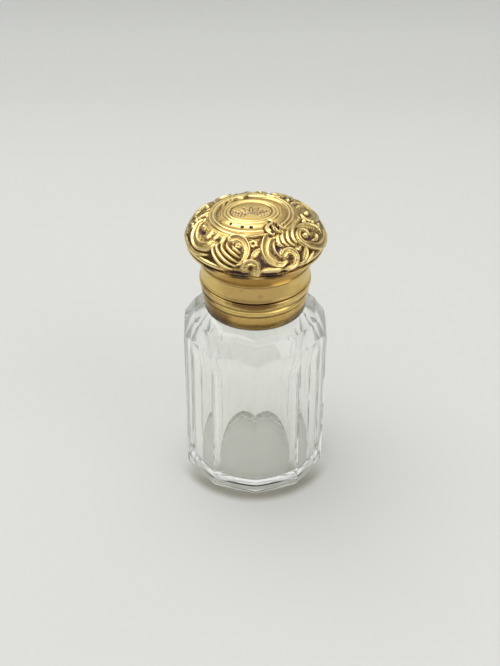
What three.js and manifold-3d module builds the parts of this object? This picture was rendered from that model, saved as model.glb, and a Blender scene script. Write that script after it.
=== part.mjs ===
// A ten-sided cut glass scent bottle with a gilt neck mount and a hinged, domed, embossed lid
// over a ground glass stopper. Millimetres, +Z up, the front is -Y, and the origin is the
// middle of the underside.
import * as THREE from 'three';
import { mergeVertices } from 'three/addons/utils/BufferGeometryUtils.js';
import Module from 'manifold-3d';

const wasm = await Module();
wasm.setup();

// Gaps and sheet
const gap = 0.3;
const sheet = 0.5;

// Glass body
const bodySides = 10;
const bodyCornerRadius = 20;
const bodyWall = 5.22;
const bodyFaceSteps = 4;
const baseBevelHeight = 1.8;
const baseBevelInset = 0.7;
const seatHeight = 52.1;
const shoulderSlopeHeight = 2.4;
const shoulderBevelHeight = 4.7;
const shoulderBevelInset = 3;
const shoulderArch = 1.4;
const lipRound = 0.5;
const cavityFloor = 1.2;
const cavityFloorRise = 1.3;
const cavityFloorRound = 3;
const cavityShoulderHeight = 13;
const boreDrop = 2.1;
const boreFootRadius = 4.7;
const boreTopRadius = 5.15;

// Neck mount, sized from the top of the collar's lower band
const collarRadius = 13.9;
const collarTaper = 0.45;
const collarWall = 0.95;
const collarBandHeight = 4.15;
const grooveHeight = 0.45;
const grooveDepth = 0.12;
const ringHeight = 1.2;
const ringStand = 0.3;
const beadHeight = 2.45;
const beadStand = 0.72;
const shelfStand = 0.5;
const cementWall = 1.95;
const seatMargin = 0.05;
const lipStand = 0.1;
const bezelInset = 0.4;
const bezelHeight = 3;
const bezelClearance = 0.35;

// Lid
const bandWall = 0.43;
const bandFootStand = 0.12;
const bandFootHeight = 0.7;
const bandHeight = 5.1;
const stepStand = 0.32;
const stepHeight = 0.7;
const flareHeight = 5;
const flareLip = 0.5;
const flareHollow = 0.15;
const flareSeat = 1.1;
const flareInset = 0.5;
const domeRadius = 18.3;
const domeHeight = 7.5;
const domeSquareness = 2.2;
const domeSheet = 0.9;
const domeRimDrop = 0.4;
const reliefHeight = 0.85;
const hollowRows = 4;
const groundRows = 5;
const meridianSteps = 60;

// Hinge at the back
const hingeStand = 1.33;
const knuckleRadius = 1.25;
const knuckleBore = 0.68;
const pinRadius = 0.38;
const knuckleLength = 2.7;
const knuckleClearance = 0.3;
const pinOverhang = 0.35;
const leafHeight = 2.7;
const leafThickness = 0.75;
const leafRoot = 0.6;
const leafSplit = 0.55;

// Stopper
const plugLift = 3;
const plugClearance = 0.3;
const plugChamfer = 0.3;
const waistHeight = 1;
const waistInset = 0.4;
const headRadius = 7.6;
const headHeight = 4.1;
const headRound = 1.1;

// Roundness
const turnedSegments = 44;
const smallSegments = 12;
const cavitySteps = 4;
const sectionSides = 6;
const curveSteps = 3;

// Radii and heights that follow from these
const shoulderHeight = seatHeight - shoulderSlopeHeight - shoulderBevelHeight;
const cavityRadius = bodyCornerRadius * Math.cos(Math.PI / bodySides) - bodyWall;
const boreFoot = seatHeight - boreDrop;
const cavityShoulderStart = boreFoot - cavityShoulderHeight;
const collarBore = collarRadius - collarWall;
const collarFootRadius = collarRadius - collarTaper;
const seatRadius = collarFootRadius + seatMargin;
const neckRadius = collarBore - cementWall - 2 * gap;
const collarFoot = seatHeight + gap;
const collarBandTop = collarFoot + collarBandHeight;
const ringFoot = collarBandTop + grooveHeight;
const beadFoot = ringFoot + ringHeight + grooveHeight;
const beadRadius = collarRadius + beadStand;
const collarTop = beadFoot + beadHeight;
const neckTop = collarTop + lipStand;
const bezelRadius = collarRadius - bezelInset;
const bandBore = bezelRadius + bezelClearance;
const bandRadius = bandBore + bandWall;
const bandFootRadius = bandRadius + bandFootStand;
const bandTop = collarTop + bandHeight;
const flareFoot = bandTop + stepHeight;
const flareTop = flareFoot + flareHeight;
const flareRadius = domeRadius - flareInset;
const domeRim = flareTop + gap;
const domeFoot = domeRim + domeRimDrop;
const domeTop = domeFoot + domeHeight;
const hingeY = beadRadius + hingeStand;
const hingeZ = collarTop + gap / 2;
const plugFoot = boreFoot + plugLift;
const headFoot = neckTop + waistHeight;
const headTop = headFoot + headHeight;

const glass = new THREE.MeshStandardMaterial({ color: 0xdfe6e0, roughness: 0.05, metalness: 0 });
const gilt = new THREE.MeshStandardMaterial({ color: 0xc9a24a, roughness: 0.25, metalness: 1 });
const giltDull = new THREE.MeshStandardMaterial({ color: 0xb08c3e, roughness: 0.45, metalness: 1 });
const steel = new THREE.MeshStandardMaterial({ color: 0x8f7a44, roughness: 0.4, metalness: 1 });
const cement = new THREE.MeshStandardMaterial({ color: 0xd8d2c2, roughness: 0.9, metalness: 0 });

const bottle = new THREE.Group();

function addPiece(name, geometry, material) {
  const mesh = new THREE.Mesh(geometry, material);
  mesh.name = name;
  bottle.add(mesh);
  return mesh;
}

// A point at a bearing round the axis, counted from the front towards the right hand side.
function around(bearing, radius, z) {
  return new THREE.Vector3(radius * Math.sin(bearing), -radius * Math.cos(bearing), z);
}

// One ring of points; radius and z may each be a number or a function of the bearing.
function ring(count, radius, z) {
  const radiusAt = typeof radius === 'function' ? radius : () => radius;
  const zAt = typeof z === 'function' ? z : () => z;
  return Array.from({ length: count }, (_, i) => {
    const bearing = (i / count) * 2 * Math.PI;
    return around(bearing, radiusAt(bearing), zAt(bearing));
  });
}

const pole = (z) => [new THREE.Vector3(0, 0, z)];

// A closed skin through a run of rings that starts and ends on a pole. Neighbouring rings may
// have different counts; the strip between them steps along whichever ring is behind.
function skin(rings) {
  const positions = [];
  const index = [];
  const starts = rings.map((points) => {
    const start = positions.length / 3;
    points.forEach((p) => positions.push(p.x, p.y, p.z));
    return start;
  });
  for (let k = 0; k + 1 < rings.length; k += 1) {
    const lower = rings[k].length;
    const upper = rings[k + 1].length;
    const stepsLower = lower > 1 ? lower : 0;
    const stepsUpper = upper > 1 ? upper : 0;
    let i = 0;
    let j = 0;
    while (i < stepsLower || j < stepsUpper) {
      const a = starts[k] + (i % lower);
      const b = starts[k + 1] + (j % upper);
      const lowerNext = stepsLower ? (i + 1) / stepsLower : Infinity;
      const upperNext = stepsUpper ? (j + 1) / stepsUpper : Infinity;
      if (lowerNext <= upperNext) {
        index.push(a, starts[k] + ((i + 1) % lower), b);
        i += 1;
      } else {
        index.push(a, starts[k + 1] + ((j + 1) % upper), b);
        j += 1;
      }
    }
  }
  const geometry = new THREE.BufferGeometry();
  geometry.setAttribute('position', new THREE.Float32BufferAttribute(positions, 3));
  geometry.setIndex(index);
  geometry.computeVertexNormals();
  return geometry;
}

// A profile of radius and height turned round the axis.
function turned(path, divisions) {
  const geometry = new THREE.LatheGeometry(path.getPoints(divisions), turnedSegments);
  geometry.rotateX(Math.PI / 2);
  return geometry;
}

// The control radius that makes a quadratic curve between two radii peak at a third.
const bulge = (from, peak, to) => (4 * peak - from - to) / 2;

function toSolid(geometry) {
  const bare = geometry.clone();
  bare.deleteAttribute('normal');
  bare.deleteAttribute('uv');
  const merged = mergeVertices(bare, 1e-5);
  return new wasm.Manifold(new wasm.Mesh({
    numProp: 3,
    vertProperties: Float32Array.from(merged.attributes.position.array),
    triVerts: Uint32Array.from(merged.index.array),
  }));
}

function toGeometry(solid) {
  const mesh = solid.getMesh();
  const geometry = new THREE.BufferGeometry();
  geometry.setAttribute('position', new THREE.BufferAttribute(mesh.vertProperties, 3));
  geometry.setIndex(new THREE.BufferAttribute(mesh.triVerts, 1));
  geometry.computeVertexNormals();
  return geometry;
}

// The glass body: a ten-sided prism with a bevelled base edge, a bevelled shoulder whose lower
// edge arches over each panel, a round seat and neck for the mount, and a blown cavity with a
// rounded floor corner, a domed shoulder and a tapered bore.
const faceAngle = (2 * Math.PI) / bodySides;

// How far a bearing is along its panel: -1 and 1 at the corners, 0 at the middle.
function alongPanel(bearing) {
  const turns = bearing / faceAngle;
  return 2 * (turns - Math.floor(turns)) - 1;
}

function polygonRadius(cornerRadius) {
  const apothem = cornerRadius * Math.cos(faceAngle / 2);
  return (bearing) => apothem / Math.cos((alongPanel(bearing) * faceAngle) / 2);
}

function buildGlassBody() {
  const bevelTop = shoulderHeight + shoulderBevelHeight;
  const archedShoulder = (b) => shoulderHeight + shoulderArch * (1 - alongPanel(b) ** 2);
  const arched = bodySides * bodyFaceSteps;
  const round = arched;
  const rings = [
    pole(0),
    ring(bodySides, polygonRadius(bodyCornerRadius - baseBevelInset), 0),
    ring(bodySides, polygonRadius(bodyCornerRadius), baseBevelHeight),
    ring(arched, polygonRadius(bodyCornerRadius), archedShoulder),
    ring(arched, polygonRadius(bodyCornerRadius - shoulderBevelInset), bevelTop),
    ring(round, seatRadius, seatHeight),
    ring(round, neckRadius, seatHeight),
    ring(round, neckRadius, neckTop - lipRound),
    ring(round, neckRadius - lipRound, neckTop),
    ring(round, boreTopRadius + lipRound / 2, neckTop),
    ring(round, boreTopRadius, neckTop - lipRound / 2),
    ring(round, boreFootRadius, boreFoot),
  ];
  for (let i = 1; i <= cavitySteps; i += 1) {
    const swing = (i / cavitySteps) * (Math.PI / 2);
    const radius = boreFootRadius + (cavityRadius - boreFootRadius) * Math.sin(swing);
    const drop = (boreFoot - cavityShoulderStart) * (1 - Math.cos(swing));
    rings.push(ring(round, radius, boreFoot - drop));
  }
  for (let i = 0; i <= cavitySteps; i += 1) {
    const swing = (i / cavitySteps) * (Math.PI / 2);
    const radius = cavityRadius - cavityFloorRound * (1 - Math.cos(swing));
    rings.push(ring(round, radius, cavityFloor + cavityFloorRise * (1 - Math.sin(swing))));
  }
  rings.push(pole(cavityFloor));
  return skin(rings);
}

addPiece('glass_bottle', buildGlassBody(), glass);

// The plaster that holds the mount on the neck.
function buildCement() {
  const inner = neckRadius + gap;
  const outer = inner + cementWall;
  const foot = seatHeight + gap;
  const top = collarTop - sheet - gap;
  const path = new THREE.Path();
  path.moveTo(inner, foot);
  path.lineTo(outer, foot);
  path.lineTo(outer, top);
  path.lineTo(inner, top);
  path.lineTo(inner, foot);
  return turned(path, 1);
}

addPiece('neck_cement', buildCement(), cement);

// The collar: a tapered lower band, a half round ring between two grooves, a larger bead, and
// a flat shelf that reaches in to the neck.
function buildCollar() {
  const path = new THREE.Path();
  const shelfBore = neckRadius + gap;
  const shelfRadius = collarRadius + shelfStand;
  const ringTop = ringFoot + ringHeight;
  path.moveTo(collarBore, collarFoot);
  path.lineTo(collarFootRadius, collarFoot);
  path.lineTo(collarRadius, collarBandTop);
  path.lineTo(collarRadius - grooveDepth, ringFoot - grooveHeight / 2);
  path.lineTo(collarRadius, ringFoot);
  path.quadraticCurveTo(bulge(collarRadius, collarRadius + ringStand, collarRadius),
    (ringFoot + ringTop) / 2, collarRadius, ringTop);
  path.lineTo(collarRadius - grooveDepth, ringTop + grooveHeight / 2);
  path.lineTo(collarRadius, beadFoot);
  path.quadraticCurveTo(bulge(collarRadius, beadRadius, shelfRadius), (beadFoot + collarTop) / 2,
    shelfRadius, collarTop);
  path.lineTo(shelfBore, collarTop);
  path.lineTo(shelfBore, collarTop - sheet);
  path.lineTo(collarBore, collarTop - sheet);
  path.lineTo(collarBore, collarFoot);
  return turned(path, curveSteps);
}

addPiece('neck_collar', buildCollar(), gilt);

// The bezel: an upright ring on the shelf that the lid snaps over.
function buildBezel() {
  const path = new THREE.Path();
  const foot = collarTop + gap;
  const bezelTop = collarTop + bezelHeight;
  path.moveTo(bezelRadius - sheet, foot);
  path.lineTo(bezelRadius, foot);
  path.lineTo(bezelRadius, bezelTop - sheet / 2);
  path.lineTo(bezelRadius - sheet / 2, bezelTop);
  path.lineTo(bezelRadius - sheet, bezelTop);
  path.lineTo(bezelRadius - sheet, foot);
  return turned(path, 1);
}

addPiece('collar_bezel', buildBezel(), giltDull);

// The lid's upright band with a small foot moulding, the step at its top, and the hollow
// flare, whose top turns in as the dome's seat.
function buildBand() {
  const foot = collarTop + gap;
  const sweepTop = flareTop - flareLip;
  const sweepZ = (flareFoot + sweepTop) / 2;
  const sweepRadius = (bandRadius + flareRadius) / 2 - flareHollow;
  const path = new THREE.Path();
  path.moveTo(bandBore, foot);
  path.lineTo(bandFootRadius, foot);
  path.lineTo(bandFootRadius, foot + bandFootHeight / 2);
  path.lineTo(bandRadius, foot + bandFootHeight);
  path.lineTo(bandRadius, bandTop);
  path.quadraticCurveTo(bulge(bandRadius, bandRadius + stepStand, bandRadius), (bandTop + flareFoot) / 2,
    bandRadius, flareFoot);
  path.quadraticCurveTo(sweepRadius, sweepZ, flareRadius, sweepTop);
  path.lineTo(flareRadius, flareTop);
  path.lineTo(flareRadius - flareSeat, flareTop);
  path.lineTo(flareRadius - flareSeat, sweepTop);
  path.quadraticCurveTo(sweepRadius - sheet, sweepZ, bandBore, flareFoot);
  path.lineTo(bandBore, foot);
  return turned(path, curveSteps);
}

addPiece('lid_band', buildBand(), gilt);

// The dome. Its ground is a superellipse sunk below the full envelope, and the chased ornament
// stands on it as swept ridges that taper to points and reach the envelope at their crests.
const envelopePower = 2 / domeSquareness;
const degrees = Math.PI / 180;

function envelope(swing, inset = 0) {
  const cos = Math.max(Math.cos(swing), 0) ** envelopePower;
  const sin = Math.max(Math.sin(swing), 0) ** envelopePower;
  const slopeR = Math.max(Math.cos(swing), 0) ** (2 - envelopePower) / domeRadius;
  const slopeZ = Math.max(Math.sin(swing), 0) ** (2 - envelopePower) / domeHeight;
  const length = Math.hypot(slopeR, slopeZ);
  return {
    radius: domeRadius * cos - (inset * slopeR) / length,
    z: domeFoot + domeHeight * sin - (inset * slopeZ) / length,
    outward: slopeR / length,
    upward: slopeZ / length,
  };
}

const swingAtRadius = (radius) => Math.acos((radius / domeRadius) ** (1 / envelopePower));

// The ground's meridian from the rim to the crown, with the length up to each of its samples.
const meridian = Array.from({ length: meridianSteps + 1 },
  (_, i) => envelope((i / meridianSteps) * (Math.PI / 2), reliefHeight));
const lengthUpTo = [0];
for (let i = 1; i <= meridianSteps; i += 1) {
  const step = Math.hypot(meridian[i].radius - meridian[i - 1].radius, meridian[i].z - meridian[i - 1].z);
  lengthUpTo.push(lengthUpTo[i - 1] + step);
}

// The ground point at a length up the meridian; below the rim it goes straight down.
function groundAt(bearing, up) {
  let i = lengthUpTo.findIndex((length) => length >= up);
  i = Math.max(i < 0 ? meridianSteps : i, 1);
  const part = Math.max((up - lengthUpTo[i - 1]) / (lengthUpTo[i] - lengthUpTo[i - 1]), 0);
  const mix = (key) => meridian[i - 1][key] * (1 - part) + meridian[i][key] * part;
  const normal = around(bearing, mix('outward'), mix('upward')).normalize();
  return { point: around(bearing, mix('radius'), mix('z') + Math.min(up, 0)), normal, radius: mix('radius') };
}

// A place on the lid, given by its bearing in degrees and its radius in plan as a share of
// the dome's.
function place([bearing, share]) {
  const i = Math.max(meridian.findIndex((sample) => sample.radius <= share * domeRadius), 0);
  return { bearing: bearing * degrees, up: lengthUpTo[i] };
}

// A ridge along a run of stations, each with a bearing, a length up and a half width. Its
// section is a flattened round whose lower half is buried in the sheet.
const thinRidgeRise = 0.25;
const ridgeRisePerWidth = 0.85;
const ridgeCrest = 1.1;
const ridgeRoot = 0.55;

function ridge(stations) {
  const grounds = stations.map(({ bearing, up }) => groundAt(bearing, up));
  const last = stations.length - 1;
  const rings = stations.map(({ half }, i) => {
    const { point, normal } = grounds[i];
    if (i === 0 || i === last) return [point.clone()];
    const ahead = grounds[i + 1].point.clone().sub(grounds[i - 1].point).normalize();
    const side = normal.clone().cross(ahead).normalize();
    const rise = Math.min(reliefHeight, thinRidgeRise + half * ridgeRisePerWidth);
    return Array.from({ length: sectionSides }, (_, k) => {
      const angle = ((k + 0.5) / sectionSides) * 2 * Math.PI;
      const flat = side.clone().multiplyScalar(half * Math.cos(angle));
      const share = angle > Math.PI ? ridgeRoot : ridgeCrest;
      const high = normal.clone().multiplyScalar(rise * share * Math.sin(angle));
      return point.clone().add(flat).add(high);
    });
  });
  return skin(rings);
}

// How full a lobe is at its share of the way along: its ends taper, and lead moves its widest
// place towards the root when below 1 and towards the tip when above.
const lobeBluntness = 0.7;
const leafLead = 0.75;
const fanLead = 1.3;
const fullness = (t, lead) => Math.sin(Math.PI * t ** lead) ** lobeBluntness;

// A leaf lobe from one place to another, bent sideways by so many millimetres.
function leaf({ from, to, bend, width, steps = 6 }) {
  const start = place(from);
  const end = place(to);
  const reach = groundAt(0, (start.up + end.up) / 2).radius;
  const across = (end.bearing - start.bearing) * reach;
  const rise = end.up - start.up;
  const length = Math.hypot(across, rise);
  return [Array.from({ length: steps + 1 }, (_, i) => {
    const t = i / steps;
    const bow = (4 * t * (1 - t) * bend) / length;
    return {
      bearing: start.bearing + (end.bearing - start.bearing) * t - (bow * rise) / reach,
      up: start.up + rise * t + bow * across,
      half: width * fullness(t, leafLead),
    };
  })];
}

// A rolled scroll round an eye: its tail starts at an angle round the eye and winds in,
// narrowing as it goes.
const scrollRoll = 0.72;
const scrollRollEase = 0.8;
const scrollThinning = 0.35;
const tailShare = 0.2;
const eyeShare = 0.9;

function scroll({ eye, size, start, sweep, hand, width, steps = 18 }) {
  const middle = place(eye);
  const reach = groundAt(0, middle.up).radius;
  const stations = Array.from({ length: steps + 1 }, (_, i) => {
    const t = i / steps;
    const angle = (start + hand * sweep * t) * degrees;
    const spiral = size * (1 - scrollRoll * t ** scrollRollEase);
    return {
      bearing: middle.bearing + (spiral * Math.cos(angle)) / reach,
      up: middle.up + spiral * Math.sin(angle),
      half: width * Math.min(1, t / tailShare) * (1 - scrollThinning * t),
    };
  });
  return [stations, ...bead({ eye, size: width * eyeShare })];
}

// A round boss.
function bead({ eye, size }) {
  const middle = place(eye);
  const reach = groundAt(0, middle.up).radius;
  return [[-1, -0.5, 0.5, 1].map((t) => ({
    bearing: middle.bearing + (t * size) / reach,
    up: middle.up,
    half: size * Math.sqrt(Math.max(1 - t * t, 0)),
  }))];
}

// Lobes fanned about a root, at even turns between two directions counted from straight up.
function fan({ root, reach, lobes, first, last, bend, width, steps = 5 }) {
  const middle = place(root);
  const radius = groundAt(0, middle.up).radius;
  return Array.from({ length: lobes }, (_, i) => {
    const turn = (first + ((last - first) * (i + 0.5)) / lobes) * degrees;
    return Array.from({ length: steps + 1 }, (_unused, k) => {
      const t = k / steps;
      const bow = 4 * t * (1 - t) * bend;
      const across = reach * t * Math.sin(turn) + bow * Math.cos(turn);
      const rise = reach * t * Math.cos(turn) - bow * Math.sin(turn);
      return {
        bearing: middle.bearing + across / radius,
        up: middle.up + rise,
        half: width * fullness(t, fanLead),
      };
    });
  });
}

// A flower: short petals round a bead.
const petalShare = 0.31;

function flower({ eye, size, petals }) {
  const petal = { reach: size, bend: 0, width: size * petalShare, steps: 3 };
  const lobes = fan({ root: eye, lobes: petals, first: 0, last: 360, ...petal });
  return [...lobes, ...bead({ eye, size: size * petalShare })];
}

// Half of the ornament; the other half is the same, turned half way round the lid. Places are
// a bearing and a share of the dome's radius.
const halfRound = [
  { form: scroll, eye: [-72, 0.781], size: 3.1, start: -20, sweep: 480, hand: -1, width: 0.8 },
  { form: leaf, from: [-31, 0.672], to: [-21, 0.973], bend: 4.2, width: 0.95, steps: 10 },
  { form: fan, root: [-29, 0.967], reach: 4, lobes: 4, first: -75, last: 45, bend: 0.8, width: 0.62 },
  { form: flower, eye: [-5, 0.650], size: 1.5, petals: 5 },
  { form: leaf, from: [-5, 0.880], to: [5, 0.743], bend: 0.6, width: 0.5 },
  { form: fan, root: [-6, 0.995], reach: 2.2, lobes: 3, first: -70, last: 70, bend: 0, width: 0.6 },
  { form: leaf, from: [27, 0.552], to: [23, 0.962], bend: -3.4, width: 1, steps: 10 },
  { form: leaf, from: [24, 0.880], to: [25, 0.984], bend: 2.3, width: 0.6 },
  { form: leaf, from: [62, 0.470], to: [36, 0.765], bend: -1.2, width: 0.6 },
  { form: leaf, from: [70, 0.568], to: [43, 0.776], bend: -1.1, width: 0.55 },
  { form: leaf, from: [49, 0.907], to: [53, 0.989], bend: -2, width: 0.55 },
  { form: scroll, eye: [64, 0.814], size: 3, start: 60, sweep: 470, hand: 1, width: 0.85 },
  { form: leaf, from: [56, 0.978], to: [84, 0.984], bend: 0.9, width: 1 },
  { form: flower, eye: [93, 0.634], size: 1.6, petals: 5 },
  { form: fan, root: [95, 0.989], reach: 3, lobes: 3, first: -60, last: 60, bend: 0.3, width: 0.65 },
];

// The crown: a plain field, a bead, a polished hollow, and two fine rings before the relief.
// Each ring is at a share of the dome's radius and sunk so far below its envelope.
const reliefInnerShare = 0.552;
const crownRings = [
  { share: 0.251, sunk: 0.5 },
  { share: 0.292, sunk: 0.05 },
  { share: 0.314, sunk: 0.3 },
  { share: 0.372, sunk: 0.62 },
  { share: 0.432, sunk: 0.35 },
  { share: 0.454, sunk: 0.08 },
  { share: 0.478, sunk: 0.35 },
  { share: 0.541, sunk: 0.1 },
];

// The plain shell under the ornament: the hollow, the rim, the ground and the crown.
function buildGround() {
  const wall = reliefHeight + domeSheet;
  const groundEnd = swingAtRadius(reliefInnerShare * domeRadius);
  const rings = [pole(envelope(Math.PI / 2, wall).z)];
  for (let i = 1; i <= hollowRows; i += 1) {
    const { radius, z } = envelope((Math.PI / 2) * (1 - i / hollowRows), wall);
    rings.push(ring(turnedSegments, radius, z));
  }
  rings.push(ring(turnedSegments, domeRadius - wall, domeRim));
  rings.push(ring(turnedSegments, domeRadius - reliefHeight, domeRim));
  for (let row = 0; row < groundRows; row += 1) {
    const { radius, z } = envelope((row / (groundRows - 1)) * groundEnd, reliefHeight);
    rings.push(ring(turnedSegments, radius, z));
  }
  [...crownRings].reverse().forEach(({ share, sunk }) => {
    const on = envelope(swingAtRadius(share * domeRadius), sunk);
    rings.push(ring(turnedSegments, on.radius, on.z));
  });
  rings.push(pole(domeTop - crownRings[0].sunk));
  return skin(rings);
}

// The ornament is cut off level with the rim, a gap above its seat on the flare.
function buildDome() {
  const underRim = new THREE.CylinderGeometry(2 * domeRadius, 2 * domeRadius, domeHeight,
    smallSegments);
  underRim.rotateX(Math.PI / 2);
  underRim.translate(0, 0, domeRim - domeHeight / 2);
  const ridges = [0, 180].flatMap((halfTurn) => halfRound.flatMap(({ form, ...sizes }) => (
    form(sizes).map((stations) => ridge(stations.map((station) => (
      { ...station, bearing: station.bearing + halfTurn * degrees })))))));
  const ornament = ridges.reduce((whole, part) => whole.add(toSolid(part)), toSolid(buildGround()));
  return toGeometry(ornament.subtract(toSolid(underRim)));
}

addPiece('lid_dome', buildDome(), gilt);

// A hinge knuckle with its soldered leaf, drawn in the plane across the pin. The leaf runs
// down to the collar or up to the lid band, and its inner face is cut to that round wall.
function buildKnuckle(from, to, side, wallRadius) {
  const shape = new THREE.Shape();
  const leafEnd = side * leafHeight;
  const leafInner = beadRadius - leafRoot - hingeY;
  const leafOuter = wallRadius + gap + leafThickness - hingeY;
  const shoulder = side * Math.sqrt(knuckleRadius ** 2 - leafOuter ** 2);
  const split = side * leafSplit;
  const corner = Math.atan2(shoulder, leafOuter);
  const tail = Math.PI - Math.asin(split / knuckleRadius);
  shape.moveTo(leafInner, split);
  shape.lineTo(leafInner, leafEnd);
  shape.lineTo(leafOuter, leafEnd);
  shape.lineTo(leafOuter, shoulder);
  shape.absarc(0, 0, knuckleRadius, corner, tail, side > 0);
  shape.lineTo(leafInner, split);
  const bore = new THREE.Path();
  bore.absarc(0, 0, knuckleBore, 0, 2 * Math.PI, false);
  shape.holes.push(bore);
  const geometry = new THREE.ExtrudeGeometry(shape,
    { depth: to - from, bevelEnabled: false, curveSegments: smallSegments });
  geometry.applyMatrix4(new THREE.Matrix4().makeBasis(
    new THREE.Vector3(0, 1, 0), new THREE.Vector3(0, 0, 1), new THREE.Vector3(1, 0, 0)));
  geometry.translate(from, hingeY, hingeZ);
  const wall = new THREE.CylinderGeometry(wallRadius + gap, wallRadius + gap, 4 * leafHeight,
    2 * turnedSegments);
  wall.rotateX(Math.PI / 2);
  wall.translate(0, 0, hingeZ + side * 2 * leafHeight);
  return toGeometry(toSolid(geometry).subtract(toSolid(wall)));
}

const lidKnuckleHalf = knuckleLength / 2;
const fixedKnuckleStart = lidKnuckleHalf + knuckleClearance;
const fixedKnuckleEnd = fixedKnuckleStart + knuckleLength;

addPiece('collar_knuckle_left',
  buildKnuckle(-fixedKnuckleEnd, -fixedKnuckleStart, -1, beadRadius), giltDull);
addPiece('collar_knuckle_right',
  buildKnuckle(fixedKnuckleStart, fixedKnuckleEnd, -1, beadRadius), giltDull);
addPiece('lid_knuckle', buildKnuckle(-lidKnuckleHalf, lidKnuckleHalf, 1, bandFootRadius), giltDull);

function buildPin() {
  const half = fixedKnuckleEnd + pinOverhang;
  const nose = pinRadius * 0.5;
  const path = new THREE.Path();
  path.moveTo(0, -half);
  path.lineTo(pinRadius - nose, -half);
  path.lineTo(pinRadius, -half + nose);
  path.lineTo(pinRadius, half - nose);
  path.lineTo(pinRadius - nose, half);
  path.lineTo(0, half);
  const geometry = new THREE.LatheGeometry(path.getPoints(1), smallSegments);
  geometry.rotateZ(Math.PI / 2);
  geometry.translate(0, hingeY, hingeZ);
  return geometry;
}

addPiece('hinge_pin', buildPin(), steel);

// The stopper: a ground tapered plug, a short waist and a flat round head.
function buildStopper() {
  const taper = (boreTopRadius - boreFootRadius) / (neckTop - boreFoot);
  const boreAt = (z) => boreFootRadius + taper * (z - boreFoot);
  const plugRadiusAt = (z) => boreAt(z) - plugClearance;
  const path = new THREE.Path();
  path.moveTo(0, plugFoot);
  path.lineTo(plugRadiusAt(plugFoot) - plugChamfer, plugFoot);
  path.lineTo(plugRadiusAt(plugFoot + plugChamfer), plugFoot + plugChamfer);
  path.lineTo(plugRadiusAt(neckTop), neckTop);
  path.lineTo(boreFootRadius - waistInset, headFoot);
  path.lineTo(headRadius - headRound, headFoot);
  path.quadraticCurveTo(headRadius, headFoot, headRadius, headFoot + headRound);
  path.lineTo(headRadius, headTop - headRound);
  path.quadraticCurveTo(headRadius, headTop, headRadius - headRound, headTop);
  path.lineTo(0, headTop);
  return turned(path, curveSteps);
}

addPiece('glass_stopper', buildStopper(), glass);

export default bottle;
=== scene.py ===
import math

import bmesh
import bpy
import numpy as np
from mathutils import Matrix, Vector


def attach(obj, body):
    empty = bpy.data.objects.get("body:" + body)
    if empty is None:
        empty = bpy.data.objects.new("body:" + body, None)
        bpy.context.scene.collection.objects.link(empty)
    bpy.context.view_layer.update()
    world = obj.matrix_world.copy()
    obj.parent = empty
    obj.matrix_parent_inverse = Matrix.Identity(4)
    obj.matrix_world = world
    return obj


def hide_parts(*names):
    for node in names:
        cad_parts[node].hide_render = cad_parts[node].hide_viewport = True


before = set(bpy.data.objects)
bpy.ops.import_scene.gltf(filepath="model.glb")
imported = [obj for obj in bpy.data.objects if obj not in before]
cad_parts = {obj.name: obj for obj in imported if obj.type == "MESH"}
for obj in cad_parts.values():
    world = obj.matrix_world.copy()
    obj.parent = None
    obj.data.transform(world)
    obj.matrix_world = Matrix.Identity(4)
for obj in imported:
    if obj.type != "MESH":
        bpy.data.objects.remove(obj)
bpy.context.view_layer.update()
mm = 0.001
print("frame loaded:", len(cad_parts), "solids")


# What a user would change about a piece: a dictionary whose entries also read as attributes.
class Settings(dict):
    __getattr__ = dict.__getitem__


# Shared mesh making

def addObject(name, data):
    thing = bpy.data.objects.new(name, data)
    bpy.context.scene.collection.objects.link(thing)
    return thing


# A smooth shaded piece from a grid of points in millimetres, which closes as gridFaces says unless its faces
# are given.
def makeMesh(name, points, material, body=None, replaces=(), poles=True, faces=None):
    mesh = bpy.data.meshes.new(name)
    faces = faces or gridFaces(*points.shape[:2], poles)
    mesh.from_pydata((points.reshape(-1, 3) * mm).tolist(), [], faces)
    mesh.update()
    mesh.polygons.foreach_set("use_smooth", np.ones(len(faces), bool))
    mesh.materials.append(material)
    piece = addObject(name, mesh)
    if body:
        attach(piece, body)
        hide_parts(*replaces)
    return piece


# Faces of a grid of rows and columns that closes round its columns. With poles, every column of the first and
# the last row holds the same point. Without them the rows close on themselves.
def gridFaces(rows, columns, poles):
    a = np.arange(rows - 1 if poles else rows)[:, None] * columns + np.arange(columns)
    d = (a + columns) % (rows * columns)
    quads = np.stack([a, np.roll(a, -1, 1), np.roll(d, -1, 1), d], -1)
    if not poles:
        return quads.reshape(-1, 4).tolist()
    first, last = quads[0], quads[-1]
    start = np.stack([np.full(columns, first[0, 0]), first[:, 2], first[:, 3]], -1)
    end = np.stack([last[:, 0], last[:, 1], np.full(columns, last[0, 3])], -1)
    return start.tolist() + quads[1:-1].reshape(-1, 4).tolist() + end.tolist()


# Normals made to point out of a closed piece.
def faceOutwards(piece):
    sheet = bmesh.new()
    sheet.from_mesh(piece.data)
    bmesh.ops.recalc_face_normals(sheet, faces=sheet.faces)
    sheet.to_mesh(piece.data)
    sheet.free()
    return piece


# Values side by side as points, each row one point.
def pointsFrom(*values):
    return np.stack(np.broadcast_arrays(*values), -1)


# Equal steps round the axis, and through a quarter turn with both its ends, in radians.
def fullTurn(count):
    return np.arange(count) / count * 2 * np.pi


def quarterTurn(count):
    return np.linspace(0, np.pi / 2, count)


# A point round the axis at a bearing counted from the front (-Y) towards +X.
def around(bearing, radius, height):
    return pointsFrom(radius * np.sin(bearing), -radius * np.cos(bearing), height)


# Points on an ellipse: its centre plus its reach each way times (cos, sin) of the swing.
def ellipse(centre, reach, swing):
    return np.array(centre) + np.array(reach) * pointsFrom(np.cos(swing), np.sin(swing))


# Length walked along a run of points, from 0.
def lengthAlong(points):
    return np.append(0, np.cumsum(np.linalg.norm(np.diff(points, axis=0), axis=1)))


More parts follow.
